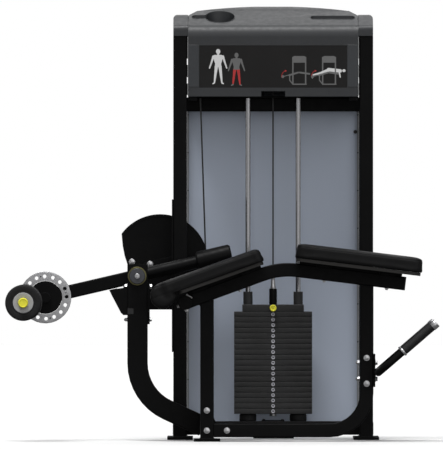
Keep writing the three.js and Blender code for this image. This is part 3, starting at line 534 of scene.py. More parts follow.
def sun(name, azimuth, elevation, strength, softness):
    """A distant soft light; azimuth 0 is in front of the machine, positive towards +X."""
    data = bpy.data.lights.new(name, "SUN")
    data.energy = strength
    data.angle = math.radians(softness)
    light = bpy.data.objects.new(name, data)
    light.rotation_euler = (math.radians(90 - elevation), 0, math.radians(azimuth))
    bpy.context.scene.collection.objects.link(light)


def studio_world():
    """A white band round the horizon, like the far end of an endless pale floor, and dim beyond it."""
    world = bpy.data.worlds.new("studio")
    world.use_nodes = True
    tree = world.node_tree
    direction = tree.nodes.new("ShaderNodeTexCoord").outputs["Generated"]
    split = tree.nodes.new("ShaderNodeSeparateXYZ")
    tree.links.new(direction, split.inputs["Vector"])
    fade = fill(tree.nodes.new("ShaderNodeMapRange"), From_Min=0.03, From_Max=0.12, To_Min=1.0, To_Max=0.16)
    slope = tree.nodes.new("ShaderNodeMath")
    slope.operation = "ABSOLUTE"
    tree.links.new(split.outputs["Z"], slope.inputs[0])
    tree.links.new(slope.outputs["Value"], fade.inputs["Value"])
    background = tree.nodes["Background"]
    background.inputs["Color"].default_value = (1, 1, 1, 1)
    tree.links.new(fade.outputs["Result"], background.inputs["Strength"])
    bpy.context.scene.world = world


def make_stage():
    mesh = bpy.data.meshes.new("floor")
    half, z = 40.0, -0.001
    corners = [(-half, -half, z), (half, -half, z), (half, half, z), (-half, half, z)]
    mesh.from_pydata(corners, [], [(0, 1, 2, 3)])
    floor = bpy.data.objects.new("floor", mesh)
    bpy.context.scene.collection.objects.link(floor)
    shader = Shader("floor", (0.82, 0.82, 0.82), 0.75, Specular_IOR_Level=0.2)
    shader.color(shader.ramp(shader.noise(1.2, 2), [(0.3, (0.81, 0.81, 0.81)), (0.8, (0.83, 0.83, 0.83))]))
    mesh.materials.append(shader.material)
    floor.visible_diffuse = False
    floor.visible_glossy = False
    studio_world()
    bpy.context.scene.view_settings.view_transform = "Standard"
    sun("key", -28, 72, 2.9, 28)
    sun("fill", 24, 30, 0.8, 60)
    sun("rim", 180, 44, 0.8, 50)


make_stage()
make_camera()

# ---------------------------------------------------------------- CAD nodes

EDGE_WIDTH = {
    "black_paint": 0.0012, "stack_iron": 0.0010, "rod_chrome": 0.0010, "bright_steel": 0.0008,
    "black_rubber": 0.0012, "shroud_plastic": 0.0016, "frosted_sheet": 0.0006, "pad_board": 0.0008,
    "yellow_plastic": 0.0012, "pulley_nylon": 0.0008, "coated_cable": 0.0,
}


def dress_nodes():
    """Gives every CAD node its material, welded shading and lightly rounded edges."""
    slots = {row["node"]: row["material_slot"] for row in frame["record"]["subparts"]}
    for name, obj in nodes.items():
        kind = slots[name]
        obj.data.materials.clear()
        obj.data.materials.append(M[kind])
        assign(obj.modifiers.new("weld", "WELD"), {"merge_threshold": 0.00002})
        width = EDGE_WIDTH.get(kind, 0.0)
        if width:
            rounding = {"width": width, "segments": 2, "limit_method": "ANGLE", "harden_normals": False}
            assign(obj.modifiers.new("edges", "BEVEL"), rounding | {"angle_limit": math.radians(50)})
        if "custom_normal" in obj.data.attributes:
            obj.data.attributes.remove(obj.data.attributes["custom_normal"])
        obj.data.polygons.foreach_set("use_smooth", [True] * len(obj.data.polygons))
        assign(obj.modifiers.new("normals", "WEIGHTED_NORMAL"), {"keep_sharp": True})


dress_nodes()

# ---------------------------------------------------------------- pads

PAD_HALF = 0.150
VOXEL = 0.0055
SWELL = 0.0045        # the most that the cloth may swell
TIGHT = 0.0020        # how much smaller the pad starts


def pad_frame(start, end):
    """Local frame of a pad whose top line runs from start to end, and the line's length in metres."""
    line = at(*end) - at(*start)
    tilt = math.atan2(line.z, line.x)
    return Matrix.Translation(at(*start)) @ Matrix.Rotation(-tilt, 4, "Y"), line.length


def plan_outline(x0, x1, half, corner, steps=8):
    outline = rounded_outline(x1 - x0, 2 * half, corner, steps)
    return [((x0 + x1) / 2 + x, y) for x, y in outline]


def add_block(bm, outline, low, high, edge, steps=5):
    """A closed slab over a plan outline whose top edge is rounded with radius edge."""
    middle_point = sum((Vector(p) for p in outline), Vector((0, 0))) / len(outline)
    levels = [(low, 0.0)]
    for k in range(steps + 1):
        turn = math.radians(90 * k / steps)
        levels.append((high - edge * (1 - math.sin(turn)), edge * (1 - math.cos(turn))))
    rings = []
    for height, inset in levels:
        ring = []
        for p in outline:
            away = Vector(p) - middle_point
            pulled = Vector(p) - Vector((math.copysign(min(inset, abs(away.x)), away.x),
                                         math.copysign(min(inset, abs(away.y)), away.y)))
            ring.append(bm.verts.new((pulled.x, pulled.y, height)))
        rings.append(ring)
    bridge(bm, rings)


def remesh(obj, voxel):
    """Joins the closed shells of a mesh into one even skin."""
    modifier = obj.modifiers.new("remesh", "REMESH")
    modifier.mode = "VOXEL"
    modifier.voxel_size = voxel
    apply_modifiers(obj)


def apply_modifiers(obj):
    graph = bpy.context.evaluated_depsgraph_get()
    mesh = bpy.data.meshes.new_from_object(obj.evaluated_get(graph))
    obj.modifiers.clear()
    old = obj.data
    obj.data = mesh
    bpy.data.meshes.remove(old)


def inflate(obj, fixed, cap):
    """Cloth under pressure; a point moves at most about cap, and the fixed points stay."""
    rest = [v.co.copy() for v in obj.data.vertices]
    pins = obj.vertex_groups.new(name="pins")
    pins.add([k for k, p in enumerate(rest) if fixed(p)], 1.0, "REPLACE")
    modifier = obj.modifiers.new("cloth", "CLOTH")
    settings = modifier.settings
    settings.quality = 4
    settings.mass = 0.3
    settings.use_pressure = True
    settings.uniform_pressure_force = 4.0
    settings.vertex_group_mass = "pins"
    settings.effector_weights.gravity = 0.0
    scene = bpy.context.scene
    for number in range(1, 21):
        scene.frame_set(number)
    graph = bpy.context.evaluated_depsgraph_get()
    moved = [v.co.copy() for v in obj.evaluated_get(graph).data.vertices]
    obj.modifiers.clear()
    obj.vertex_groups.clear()
    scene.frame_set(1)
    for vertex, before, after in zip(obj.data.vertices, rest, moved):
        step = after - before
        if step.length > 1e-9:
            step *= cap * math.tanh(step.length / cap) / step.length
        vertex.co = before + step


def smooth_skin(obj, rounds, factor=0.5):
    bm = bmesh.new()
    bm.from_mesh(obj.data)
    for _ in range(rounds):
        bmesh.ops.smooth_vert(bm, verts=bm.verts, factor=factor, use_axis_x=True, use_axis_y=True,
                              use_axis_z=True)
    bm.to_mesh(obj.data)
    bm.free()


def subdivide(obj):
    modifier = obj.modifiers.new("fine", "SUBSURF")
    modifier.levels = 1
    modifier.render_levels = 1
    apply_modifiers(obj)


def wall_loop(tree, outline, middle_point, height, offset):
    """Points on the pad's wall at a height, found by rays from outside, moved out by offset."""
    points = []
    for p in outline:
        away = Vector((p[0] - middle_point[0], p[1] - middle_point[1], 0))
        start = Vector((p[0], p[1], height)) + away.normalized() * 0.05
        hit, _, _, _ = tree.ray_cast(start, -away.normalized())
        if hit is not None:
            points.append(hit + away.normalized() * offset)
    return points


def dense_outline(outline, step):
    """The same closed outline with points an even step apart."""
    points = [Vector(p) for p in outline]
    out = []
    carry = 0.0
    for a, b in zip(points, points[1:] + points[:1]):
        length = (b - a).length
        along = carry
        while along < length:
            out.append(a.lerp(b, along / length))
            along += step
        carry = along - length
    return out


def pull_seam(obj, height, depth, reach):
    """Draws the wall in along a level seam."""
    pulls = []
    for vertex in obj.data.vertices:
        gap = (vertex.co.z - height) / reach
        if abs(gap) < 2.5:
            x, y, _ = vertex.normal
            amount = depth * math.hypot(x, y) * math.exp(-gap * gap)
            pulls.append((vertex.index, Vector((x, y, 0)) * amount))
    for index, pull in pulls:
        obj.data.vertices[index].co -= pull


def stitches(name, loop, place, up, length, radius, material, body):
    """Short raised thread stitches along a closed loop of points."""
    bm = bmesh.new()
    for a, b in zip(loop, loop[1:] + loop[:1]):
        along = (b - a).normalized() * length / 2
        centre = (a + b) / 2
        rise = up * radius * 0.9
        path = [centre - along, centre - along * 0.5 + rise, centre + along * 0.5 + rise, centre + along]
        add_tube(bm, [place @ p for p in path], radius, 6)
    return finish_piece(mesh_object(name, bm), material, body, 60)


SEAM_Z = -0.0085         # height of the seam, from the top line of the pad
STITCH_INSET = 0.016     # from the edge of the pad to its row of stitches


def make_pad(name, node, ends, plan, thick, body, roll=None):
    """One upholstered pad: swollen vinyl skin, seam around its top edge and a row of stitches."""
    place, length = pad_frame(*ends)
    x0, x1, corner = plan[0], length + plan[1], plan[2]
    bm = bmesh.new()
    outline = plan_outline(x0 + TIGHT, x1 - TIGHT, PAD_HALF - TIGHT, corner)
    add_block(bm, outline, -thick, -TIGHT, 0.006)
    if roll:
        radius, reach, middle_x = roll
        turn = Matrix.Translation((middle_x, reach, -radius)) @ Matrix.Rotation(math.pi / 2, 4, "X")
        r, h, edge = (radius - TIGHT) / MM, 2 * reach / MM, 9
        near_rim = [(r - edge, 2), (r - edge * 0.3, 2 + edge * 0.3), (r, 2 + edge)]
        far_rim = [(r, h - edge - 2), (r - edge * 0.3, h - 2 - edge * 0.3), (r - edge, h - 2)]
        add_lathe(bm, [(0, 2), *near_rim, *far_rim, (0, h - 2)], turn, 72)
    pad = mesh_object(name, bm)
    remesh(pad, VOXEL)
    smooth_skin(pad, 1)
    seat_end = x0 + 0.06 if roll else x0 - 1
    inflate(pad, lambda p: p.z < -thick + 0.002 and p.x > seat_end, SWELL)
    smooth_skin(pad, 2)
    for vertex in pad.data.vertices:
        over_board = not roll or vertex.co.x > x0 + 0.055
        if over_board and vertex.co.z < -thick + 0.0015:
            vertex.co.z = -thick + 0.0002
    subdivide(pad)
    pull_seam(pad, SEAM_Z, 0.0016, 0.0028)
    pull_seam(pad, -thick + 0.006, 0.0008, 0.004)
    tree = BVHTree.FromPolygons([v.co for v in pad.data.vertices], [p.vertices for p in pad.data.polygons])
    middle_point = ((x0 + x1) / 2, 0)
    seam_plan = dense_outline(plan_outline(x0 - 0.001, x1 + 0.001, PAD_HALF + 0.001, corner), 0.0045)
    loop = wall_loop(tree, seam_plan, middle_point, SEAM_Z, -0.0002)
    if roll:
        loop = [p for p in loop if p.x > x0 + 0.02]
        start = min(range(len(loop)), key=lambda k: (loop[k].x, -loop[k].y))
        loop = loop[start:] + loop[:start]
    tube(name + "_welt", [place @ p for p in loop], 0.0011, "pad_vinyl", body, 8, closed=not roll)
    inset = STITCH_INSET
    inner = plan_outline(x0 + inset, x1 - inset, PAD_HALF - inset, max(0.008, corner - 0.014))
    top = []
    for p in dense_outline(inner, 0.0042):
        hit, _, _, _ = tree.ray_cast(Vector((p[0], p[1], 0.05)), Vector(DOWN))
        top.append(hit)
    stitches(name + "_stitching", top, place, Vector(UP), 0.003, 0.00035, "seam_thread", body)
    pad.data.transform(place)
    finish_piece(pad, "pad_vinyl", body, 70)
    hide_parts(node)


make_pad("thigh_cushion", "thigh_pad", ((-433, 0, 586), (-54, 0, 721)), (0.0, 0.004, 0.022), 0.050, "root",
         roll=(0.050, 0.146, 0.003))
make_pad("chest_cushion", "chest_pad", ((84, 0, 738.5), (562, 0, 681)), (0.0, 0.0, 0.030), 0.053, "root")


RAIL_TOP = -62        # underside of the boards, from the top line of the pads
RAILS = (
    ("thigh_rail", ((-345, 0, 617.3), (-70, 0, 715.3)), 14),
    ("chest_rail", ((105, 0, 736), (488, 0, 689.9)), 13),
)


def make_pad_rails():
    """Steel packing strips between the bench tube and the boards of the pads."""
    for name, ends, thick in RAILS:
        place, length = pad_frame(*ends)
        centre = place @ Vector((length / 2, 0, RAIL_TOP * MM))
        down = place.to_3x3() @ Vector(DOWN)
        plate(name, (length / MM, 44, 4, thick), centre, "black_paint", down, BACK)


make_pad_rails()

# ---------------------------------------------------------------- roller

ROLLER = (-433.5, 0, 0)      # on the arm
ROLLER_R = 67.7
ROLLER_HALF = 192


def make_roller():
    """Dense foam sleeve with rolled ends, a dark ring and a grey end disc at each end."""
    half = []
    for k in range(6):
        turn = math.radians(18 * k)
        half.append((ROLLER_R - 0.3 - 8 * (1 - math.sin(turn)), -ROLLER_HALF + 8 * (1 - math.cos(turn))))
    body_rings = [(ROLLER_R - 0.2 - 0.5 * (y / 180) ** 2, y) for y in range(-180, 181, 12)]
    ends = [(14, -ROLLER_HALF + 1.2), (41, -ROLLER_HALF + 1.2), (44, -ROLLER_HALF)]
    profile = ends + half + body_rings + [(r, -y) for r, y in reversed(ends + half)]
    foam = lathe("roller_sleeve", profile, on_arm(*ROLLER), BACK, "roller_foam", "roller", 96, 50)
    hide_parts("roller_foam")
    for side, sign in ENDS:
        face = on_arm(ROLLER[0], sign * (ROLLER_HALF - 1.4), 0)
        ring = [(38.6, 0), (42.0, 0), (42.0, 1.4), (41.2, 2.0), (38.6, 2.0)]
        lathe(f"roller_ring_{side}", ring, face, (0, sign, 0), "black_rubber", "roller", 72)
        disc = [(13.2, 0), (38.2, 0), (38.2, 2.2), (37.2, 3.2), (21.5, 3.2), (20.5, 2.7), (13.2, 2.7)]
        lathe(f"roller_end_{side}", disc, face, (0, sign, 0), "grey_plastic", "roller", 72)


def knob_profile(radius, start, thick):
    """A turned knob with a rounded rim and a shallow dish in its face."""
    r, top = radius, start + thick
    return [(0, start), (r * 0.82, start), (r * 0.95, start + thick * 0.1), (r, start + thick * 0.3),
            (r, start + thick * 0.7), (r * 0.95, start + thick * 0.88), (r * 0.84, top), (r * 0.74, top),
            (r * 0.70, top - 1.0), (r * 0.2, top - 1.6), (0, top - 1.6)]


def make_pull_knobs():
    """The roller's spring-loaded release pin and the stack's selector pin."""
    knob = lathe("release_knob", knob_profile(19, 196.3, 19.7), on_arm(*ROLLER), OUT,
                 "yellow_plastic", "release_pin", 56)
    rod = [(0, -219.0), (3.6, -219.0), (5.0, -217.6), (5.0, 200), (0, 200)]
    rod_piece = lathe("release_rod", rod, on_arm(*ROLLER), OUT, "bright_steel", "release_pin", 24)
    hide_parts("pull_knob")
    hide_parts("pull_knob")
    low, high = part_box("selector_pin")
    place = Vector(((low[0] + high[0]) / 2, STACK_Y, (low[2] + high[2]) / 2))
    selector = lathe("selector_knob", knob_profile(13, 59.5, 18.5), place, OUT,
                     "yellow_plastic", "selector", 48)
    pin = lathe("selector_shaft", [(0, -12), (3.4, -12), (4.5, -10.8), (4.5, 60.5), (0, 60.5)], place, OUT,
                "bright_steel", "selector", 20)
    plate("selector_mark", (7, 1.8, 0.8, 0.4), place + Vector((0, -76.3 * MM, 0)), "dark_plastic",
          body="selector", steps=3)
    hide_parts("selector_pin")
    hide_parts("selector_pin")


make_roller()
make_pull_knobs()

# ---------------------------------------------------------------- pivot, disc and cam trim


def make_pivot_trim():
    """Cap and ring on the front bearing, and the four screws of the adjusting disc."""
    front = at(-510, 150.1, 616.2)
    cap = [(0, 0.05), (29, 0.05), (29, 2.4), (27.6, 3.8), (11.5, 4.2), (10.8, 3.2), (0, 3.2)]
    lathe("pivot_cap", cap, front, OUT, "cap_grey", "root", 64)
    ring = [(33.1, -9), (35.0, -9), (35.2, -0.6), (34.2, 0.6), (30.2, 1.0), (29.4, 0.05), (33.1, 0.05)]
    lathe("pivot_ring", ring, front, OUT, "ring_olive", "root", 72)
    bolt("pivot_bolt", front + Vector((0, -3.2 * MM, 0)), OUT, 15, 5, 19.4, body="arm")
    for k in range(4):
        turn = math.radians(90 * k)
        point = on_arm(-354 + 79.5 * math.cos(turn), 219.7, 79.5 * math.sin(turn))
        socket_screw(f"disc_screw_{k}", point, OUT, "arm", 2.6, 1.0, "dark_plastic")
    bolt("disc_axle_nut", on_arm(-354, 287, 0), BACK, 19, 8, 30, body="crank")
    for k, (x, y, z, body) in enumerate(((-532, 511.9, 668.5, "arm"), (-463.6, 465.9, 660, "root"))):
        bolt(f"cam_bolt_{k}", at(x, y, z), OUT, 19, 8, 24, body=body)


CAM_Y, CAM_HALF = 530, 12


def make_cam_rim():
    """Raised flange round the cam's arc, on both faces."""
    centre_x, centre_z, outer, inner, thick = -425.6, 667.4, 180.4, 171.0, 1.4
    section = ((inner, 0.0), (inner + 0.6, thick), (outer - 0.6, thick), (outer, 0.0))
    for name, sign in ENDS:
        bm = bmesh.new()
        rings = []
        for k in range(73):
            turn = math.radians(143.5 - 150 * k / 72)
            ring = []
            for radius, lift in section:
                x, z = centre_x + radius * math.cos(turn), centre_z + radius * math.sin(turn)
                ring.append(bm.verts.new(at(x, CAM_Y + sign * (CAM_HALF + lift), z)))
            rings.append(ring)
        bridge(bm, rings)
        finish_piece(mesh_object(f"cam_rim_{name}", bm), "black_paint", "arm", 40)


make_pivot_trim()
make_cam_rim()

# ---------------------------------------------------------------- bolts and pins of the frame


TUBE = 50.8                 # the frame's square tube
CREST = (22.7, 646.3)       # X and Z where the two centre lines of the bench tube meet
THIGH_SLOPE, CHEST_SLOPE = 20.08, -7.01
CROSS_TUBE = Vector((-330.5, 0, 517.4))     # middle of the cross tube at the bench's left end


def under_bench(slope, x):
    """A point on the underside of the bench tube and the direction out of it."""
    turn = math.radians(slope)
    z = CREST[1] + (x - CREST[0]) * math.tan(turn) - TUBE / 2 / math.cos(turn)
    return at(x, 0, z), Vector((math.sin(turn), 0, -math.cos(turn)))


def level(degrees):
    """A direction in the X-Z plane, turned up from +X."""
    return Vector((math.cos(math.radians(degrees)), 0, math.sin(math.radians(degrees))))


def make_frame_bolts():
    links = ((-248.9, 115.4), (-248.9, 40.6), (-174, 40.6), (347.4, 311.7), (347.4, 215.4))
    for k, (x, z) in enumerate(links):
        bolt(f"link_bolt_{k}", at(x, -TUBE / 2, z), OUT, 17, 7, 23)
    for k, (x, z) in enumerate(links[:3]):
        bolt(f"link_nut_{k}", at(x, 34.8, z), BACK, 17, 7, 23, nut=True)
    for k, (slope, x) in enumerate(((THIGH_SLOPE, -126), (CHEST_SLOPE, 189), (CHEST_SLOPE, 422))):
        point, down = under_bench(slope, x)
        bolt(f"pad_bolt_{k}", point, down, 10, 5, 16)
    for k, (z, size) in enumerate(((577, (17, 7, 22)), (453, (13, 6, 16)))):
        bolt(f"column_nut_{k}", at(-547.2, 185.5, z), WEST, *size, nut=True)
        bolt(f"column_bolt_{k}", at(-463.4, 185.5, z), EAST, *size)
    for k, z in enumerate((294, 233)):
        bolt(f"handle_bolt_{k}", at(379.5, 0, z), EAST, 17, 7, 22)
        bolt(f"handle_nut_{k}", at(322, 0, z), WEST, 17, 7, 22, nut=True)
    for k, turn in enumerate((205, 283)):
        point = CROSS_TUBE + level(turn) * 25.8 + Vector((0, -42, 0))
        bolt(f"cross_bolt_{k}", at(*point), level(turn), 13, 6, 18)
    middle_point = CROSS_TUBE + level(57) * 29.4 + Vector((0, -50, 0))
    pin = [(0, -13), (2.6, -13), (3.4, -12), (3.4, 9), (5.0, 9.4), (5.0, 12.4), (4.2, 13), (0, 13)]
    lathe("cross_pin", pin, at(*middle_point), level(147), "zinc_bolt", "root", 24)


def make_small_plates():
    """Small plates and caps that close or mark the frame."""
    plate("column_plate", (22, 21, 2, 0.6), at(-535, 160.1, 484.5), "dark_plastic", bevel=0.2)
    turn = math.radians(CHEST_SLOPE)
    end_x = 489
    along = level(CHEST_SLOPE)
    end = at(end_x, 0, CREST[1] + (end_x - CREST[0]) * math.tan(turn)) + along * 0.2 * MM
    plate("bench_end_cap", (TUBE, TUBE, 5, 3.5), end, "dark_plastic", along, bevel=1.2)
    plate("stack_base_plate", (86, 40, 4, 4.5), at(0, 530, 67.6), "black_paint", UP, BACK, 0.8)
    for k, x in enumerate((-35, 35)):
        socket_screw(f"base_plate_screw_{k}", at(x, 530, 72.1), UP, "root", 5.5, 4, "dark_plastic")


make_frame_bolts()
make_small_plates()

# ---------------------------------------------------------------- shroud, placard and shield

FRONT = 370.0                # front face of the shroud
PLACARD_FACE = FRONT + 0.5   # front face of the placard sheet, in its bed


def top_loop(outline, lift):
    """The outline, in mm, dropped on to the top of the shroud from above."""
    shell = nodes["shroud_shell"].data
    tree = BVHTree.FromPolygons([v.co for v in shell.vertices], [p.vertices for p in shell.polygons])
    points = []
    for x, y in outline:
        hit, _, _, _ = tree.ray_cast(at(x, y, 1700), Vector(DOWN))
        if hit is not None and hit.z > at(0, 0, 1540).z:
            points.append(hit + Vector((0, 0, lift)))
    return points


def arc(x, y, radius, start, sweep, steps):
    """Points along an arc, in mm; angles in degrees."""
    turns = [math.radians(start + sweep * k / steps) for k in range(steps + 1)]
    return [(x + radius * math.cos(t), y + radius * math.sin(t)) for t in turns]


def make_rims():
    """Rolled rims round the cup holder with its handle slot and round the phone slot."""
    radius, half = 56.2, 16.2
    slot_turn = math.degrees(math.asin(half / radius))
    keyhole = arc(-200, 473, radius, 180 + slot_turn, 360 - 2 * slot_turn, 60)
    keyhole += arc(-290, 473, 16.4, 90, 180, 14)
    slot = [(224.5 + x / MM, 467 + y / MM) for x, y in rounded_outline(0.1680, 0.033, 0.0164, 12)]
    slot = [(p.x, p.y) for p in dense_outline(slot, 6)]
    for name, outline, bead in (("cup_rim", keyhole, 0.0016), ("slot_rim", slot, 0.0014)):
        tube(name, top_loop(outline, -0.0002), bead, "shroud_plastic", "root", 8, closed=True)


SPACERS = ((1296, 1340), (1363, 1410), (1433, 1516))     # lowest and highest Z of each


def make_shroud_trim():
    """Flat corner plates in a lighter plastic as painted light on the front's rounded corners, brackets,
    spacers beside the uprights, the placard and the seam above it.
    """
    for name, side in SIDES:
        # painted light: a flat plate in the lighter trim_plastic stands in for light falling on the front's
        # rounded corner
        corner = at(side * 299.8, FRONT, 1406)
        plate(f"painted_lit_corner_{name}", (39.8, 158.5, 2, 1.2), corner, "trim_plastic", bevel=0.8)
        seat = at(side * 303, 410, 1283.5)
        plate(f"shroud_bracket_{name}", (34, 14.5, 2, 30), seat, "black_paint", bevel=1)
        for k, (low, high) in enumerate(SPACERS):
            point = at(side * 322.7, 378, (low + high) / 2)
            plate(f"shroud_spacer_{name}_{k}", (3.2, high - low, 1, 3), point, "black_rubber")
    plate("beam_cap", (199, 50, 3, 4.2), at(218.5, 567, 1286.6), "black_paint", UP, BACK)
    seam = [at(x, FRONT - 0.1, 1487) for x in range(-319, 320, 11)]
    tube("shroud_seam", seam, 0.0004, "dark_plastic", "root", 6)
    plate("placard", (555.5, 158.5, 1.5, 1), at(0, 371.5, 1403.5), "placard_face", bevel=0.3)


# ---- printed figures: plain pictograms of our own, made of bars and discs

PRINT_RISE = 0.2             # mm the print stands in front of the sheet
PRINT_STEP = 0.008           # mm between the fronts of two overlapping shapes


def add_limb(bm, start, end, wide, narrow):
    """A tapering limb with round ends."""
    a, b = Vector(start), Vector(end)
    turn = math.atan2(b.y - a.y, b.x - a.x)
    points = []
    for centre, radius, first in ((a, wide / 2, 90), (b, narrow / 2, -90)):
        for k in range(7):
            t = turn + math.radians(first + 30 * k)
            points.append((centre.x + radius * math.cos(t), centre.y + radius * math.sin(t)))
    add_print(bm, points)


def add_print(bm, points):
    """A flat printed shape from (X, Z) points in mm."""
    step = len(bm.verts) % 97 / 8       # another for each shape, so that no two faces coincide
    front = PLACARD_FACE - PRINT_RISE - PRINT_STEP * step
    lower = [bm.verts.new(at(x, PLACARD_FACE + 0.05, z)) for x, z in points]
    upper = [bm.verts.new(at(x, front, z)) for x, z in points]
    bridge(bm, [lower, upper])


def both_sides(limbs):
    """The limbs of the left half and then those of the right half."""
    return [(side * x0, z0, side * x1, *rest) for side in (-1, 1) for x0, z0, x1, *rest in limbs]


# A limb is (x, z, x, z, wide, narrow), a disc (x, z, half width, half height, points), a list an outline.
TRUNK = [
    (0, 93, 6.2, 7.4, 20), (0, 87, 0, 80, 6, 6),
    [(-14, 81), (-10, 83.5), (10, 83.5), (14, 81), (11.5, 68), (8.5, 58), (9.5, 49), (-9.5, 49), (-8.5, 58),
     (-11.5, 68)],
]
ARM = [(13.5, 79, 19, 62, 6.8, 5), (19, 62, 24.5, 46, 5, 3.6)]
LEG = [(5.2, 50, 8, 27, 9.6, 6.6), (8, 27, 10.5, 5, 7, 4)]
FOOT = [(10.5, 4, 15, 1.6, 4, 3.2)]
STANDING = TRUNK + both_sides(ARM + LEG + FOOT)
LEGLESS = TRUNK + both_sides(ARM + FOOT)
WORKED_LEGS = both_sides([(5.2, 50, 8, 29, 9.6, 6.8), (8.2, 25, 10.5, 5, 7.2, 4)])
MACHINE = [
    (-24, 4, -24, 92, 5, 5), (24, 4, 24, 92, 5, 5),
    [(-26.5, 84), (26.5, 84), (26.5, 105), (18, 109), (-18, 109), (-26.5, 105)],
    (-24, 3, 26, 3, 4.5, 4.5), (-36, 38, -36, 18, 4, 4), (-36, 18, -24, 3, 4, 4),
    (-38, 37, -4, 47, 6.5, 6.5), (2, 47, 38, 42, 6.5, 6.5), (-34, 39, -60, 32, 3, 3), (-62, 31.5, 5.5, 5.5, 16),
]
LYING = [
    (56, 54, 6.2, 5.6, 20), (42, 53, -2, 58, 13, 13), (-2, 56, -32, 45, 12, 8), (-32, 45, -60, 38, 8, 5),
    (-60, 37, -63, 27, 4.5, 4), (38, 50, 42, 30, 6, 4.5),
]


def sweep_arrow():
    """A curved arrow over the end of the sign's arm."""
    curve = arc(-46, 34, 20, 192, -80, 5)
    shaft = [(*a, *b, 1.8, 1.8) for a, b in zip(curve, curve[1:])]
    tip = math.radians(108)
    x, z = -46 + 20 * math.cos(tip), 34 + 20 * math.sin(tip)
    return shaft + [[(x + 6, z + 0.5), (x - 2, z + 4), (x - 1, z - 4)]]


def draw(bm, shapes, x, z, scale=1.0):
    """Prints the shapes about the point (x, z)."""
    for shape in shapes:
        if isinstance(shape, list):
            add_print(bm, [(x + px * scale, z + pz * scale) for px, pz in shape])
        elif len(shape) == 5:
            dx, dz, rx, rz, steps = shape
            turns = [2 * math.pi * k / steps for k in range(steps)]
            ring = [(dx + rx * math.cos(t), dz + rz * math.sin(t)) for t in turns]
            add_print(bm, [(x + px * scale, z + pz * scale) for px, pz in ring])
        else:
            x0, z0, x1, z1, wide, narrow = (value * scale for value in shape)
            add_limb(bm, (x + x0, z + z0), (x + x1, z + z1), wide, narrow)


SIGNS = ((98, 1334), (210, 1334))
PRINTS = (
    ("light", "print_light", [(STANDING, -207, 1337, 1.32), (LYING, *SIGNS[1])]),
    ("grey", "print_mid", [(LEGLESS, -138, 1331, 1.24), *((MACHINE, *sign) for sign in SIGNS)]),
    ("red", "print_red", [(WORKED_LEGS, -138, 1331, 1.24), *((sweep_arrow(), *sign) for sign in SIGNS)]),
)


def make_placard_print():
    for name, material, figures in PRINTS:
        bm = bmesh.new()
        for figure in figures:
            draw(bm, *figure)
        finish_piece(mesh_object(f"placard_print_{name}", bm), material, "root", None)


def make_shield_trim():
    """Pale edge strips with their screws, and the knob that holds the rear sheet."""
    for name, side in SIDES:
        edge = at(side * 321.0, 669, 652)
        plate(f"shield_strip_{name}", (7, 1250, 1, 1.4), edge, "strip_grey", bevel=0.4)
        for k in range(9):
            z = 80 + 143 * k
            front, rear = at(side * 321.0, 667.6, z), at(side * 318.0, 674, z)
            socket_screw(f"shield_screw_{name}_{k}", front, OUT, "root", 2.6, 1.4, "dark_plastic")
            socket_screw(f"shield_rear_screw_{name}_{k}", rear, BACK, "root", 5.5, 3.4)
    knob = [(0, 0), (6.5, 0), (7.0, 1.2), (7.0, 7), (6, 8.5), (0, 9)]
    lathe("shield_knob", knob, at(312, 668.6, 1160), OUT, "dark_plastic", "root", 28)


make_rims()
make_shroud_trim()
make_placard_print()
make_shield_trim()

# ---------------------------------------------------------------- hand bar

BAR_FOOT = (389.5, 257.6)   # X and Z where the arms of the bar start
BAR_SLOPE = 40.8
GRIP_Y = 220
RIBS = range(137, 264, 6)   # how far each rib stands from the foot


def make_grip_trim():
    """Ribs on the rubber sleeves, a plated collar below each and a plated cap on each end."""
    along = level(BAR_SLOPE)
    for name, side in ENDS:
        foot = at(BAR_FOOT[0], side * GRIP_Y, BAR_FOOT[1])
        collar = [(13.8, 117), (16.8, 117), (17.5, 118), (17.5, 124.6), (16.8, 125.6), (13.8, 125.6)]
        lathe(f"grip_collar_{name}", collar, foot, along, "zinc_bolt", "root", 48)
        cap = [(15.6, 263), (16.8, 263.4), (17.2, 264.2), (17.2, 283), (16, 285.4), (0, 285.8)]
        lathe(f"grip_cap_{name}", cap, foot, along, "zinc_bolt", "root", 48)
        bm = bmesh.new()
        place = Matrix.Translation(foot) @ facing(along)
        for s in RIBS:
            rib = [(15.2, s - 1.3), (15.95, s - 0.7), (16.0, s), (15.95, s + 0.7), (15.2, s + 1.3)]
            add_lathe(bm, rib, place, 40)
        finish_piece(mesh_object(f"grip_ribs_{name}", bm), "black_rubber", "root", 50)


make_grip_trim()

# ---------------------------------------------------------------- stack and cable


PLATE_COUNT = 19
CABLE_LOW, CABLE_HIGH = 608.3, 1387.6     # the cable's run from the stem up to the pulley
PULLEYS_X = (-222.4, -55)


def make_pin_bushes():
    """Pale plugs in the plates' pin holes."""
    bm = bmesh.new()
    face_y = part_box("weight_plate_01")[0][1]
    profile = [(6.0, -4), (6.0, -0.1), (7.0, 0.1), (6.8, 0.8), (4.6, 0.7), (4.4, -2.5), (0, -2.5)]
    for k in range(1, PLATE_COUNT + 1):
        centre = Vector((TOWER_X, face_y, middle(f"weight_plate_{k:02d}", 2)))
        add_lathe(bm, profile, Matrix.Translation(centre) @ facing(OUT), 20)
    finish_piece(mesh_object("pin_bushes", bm), "bush_white", "root", 40)


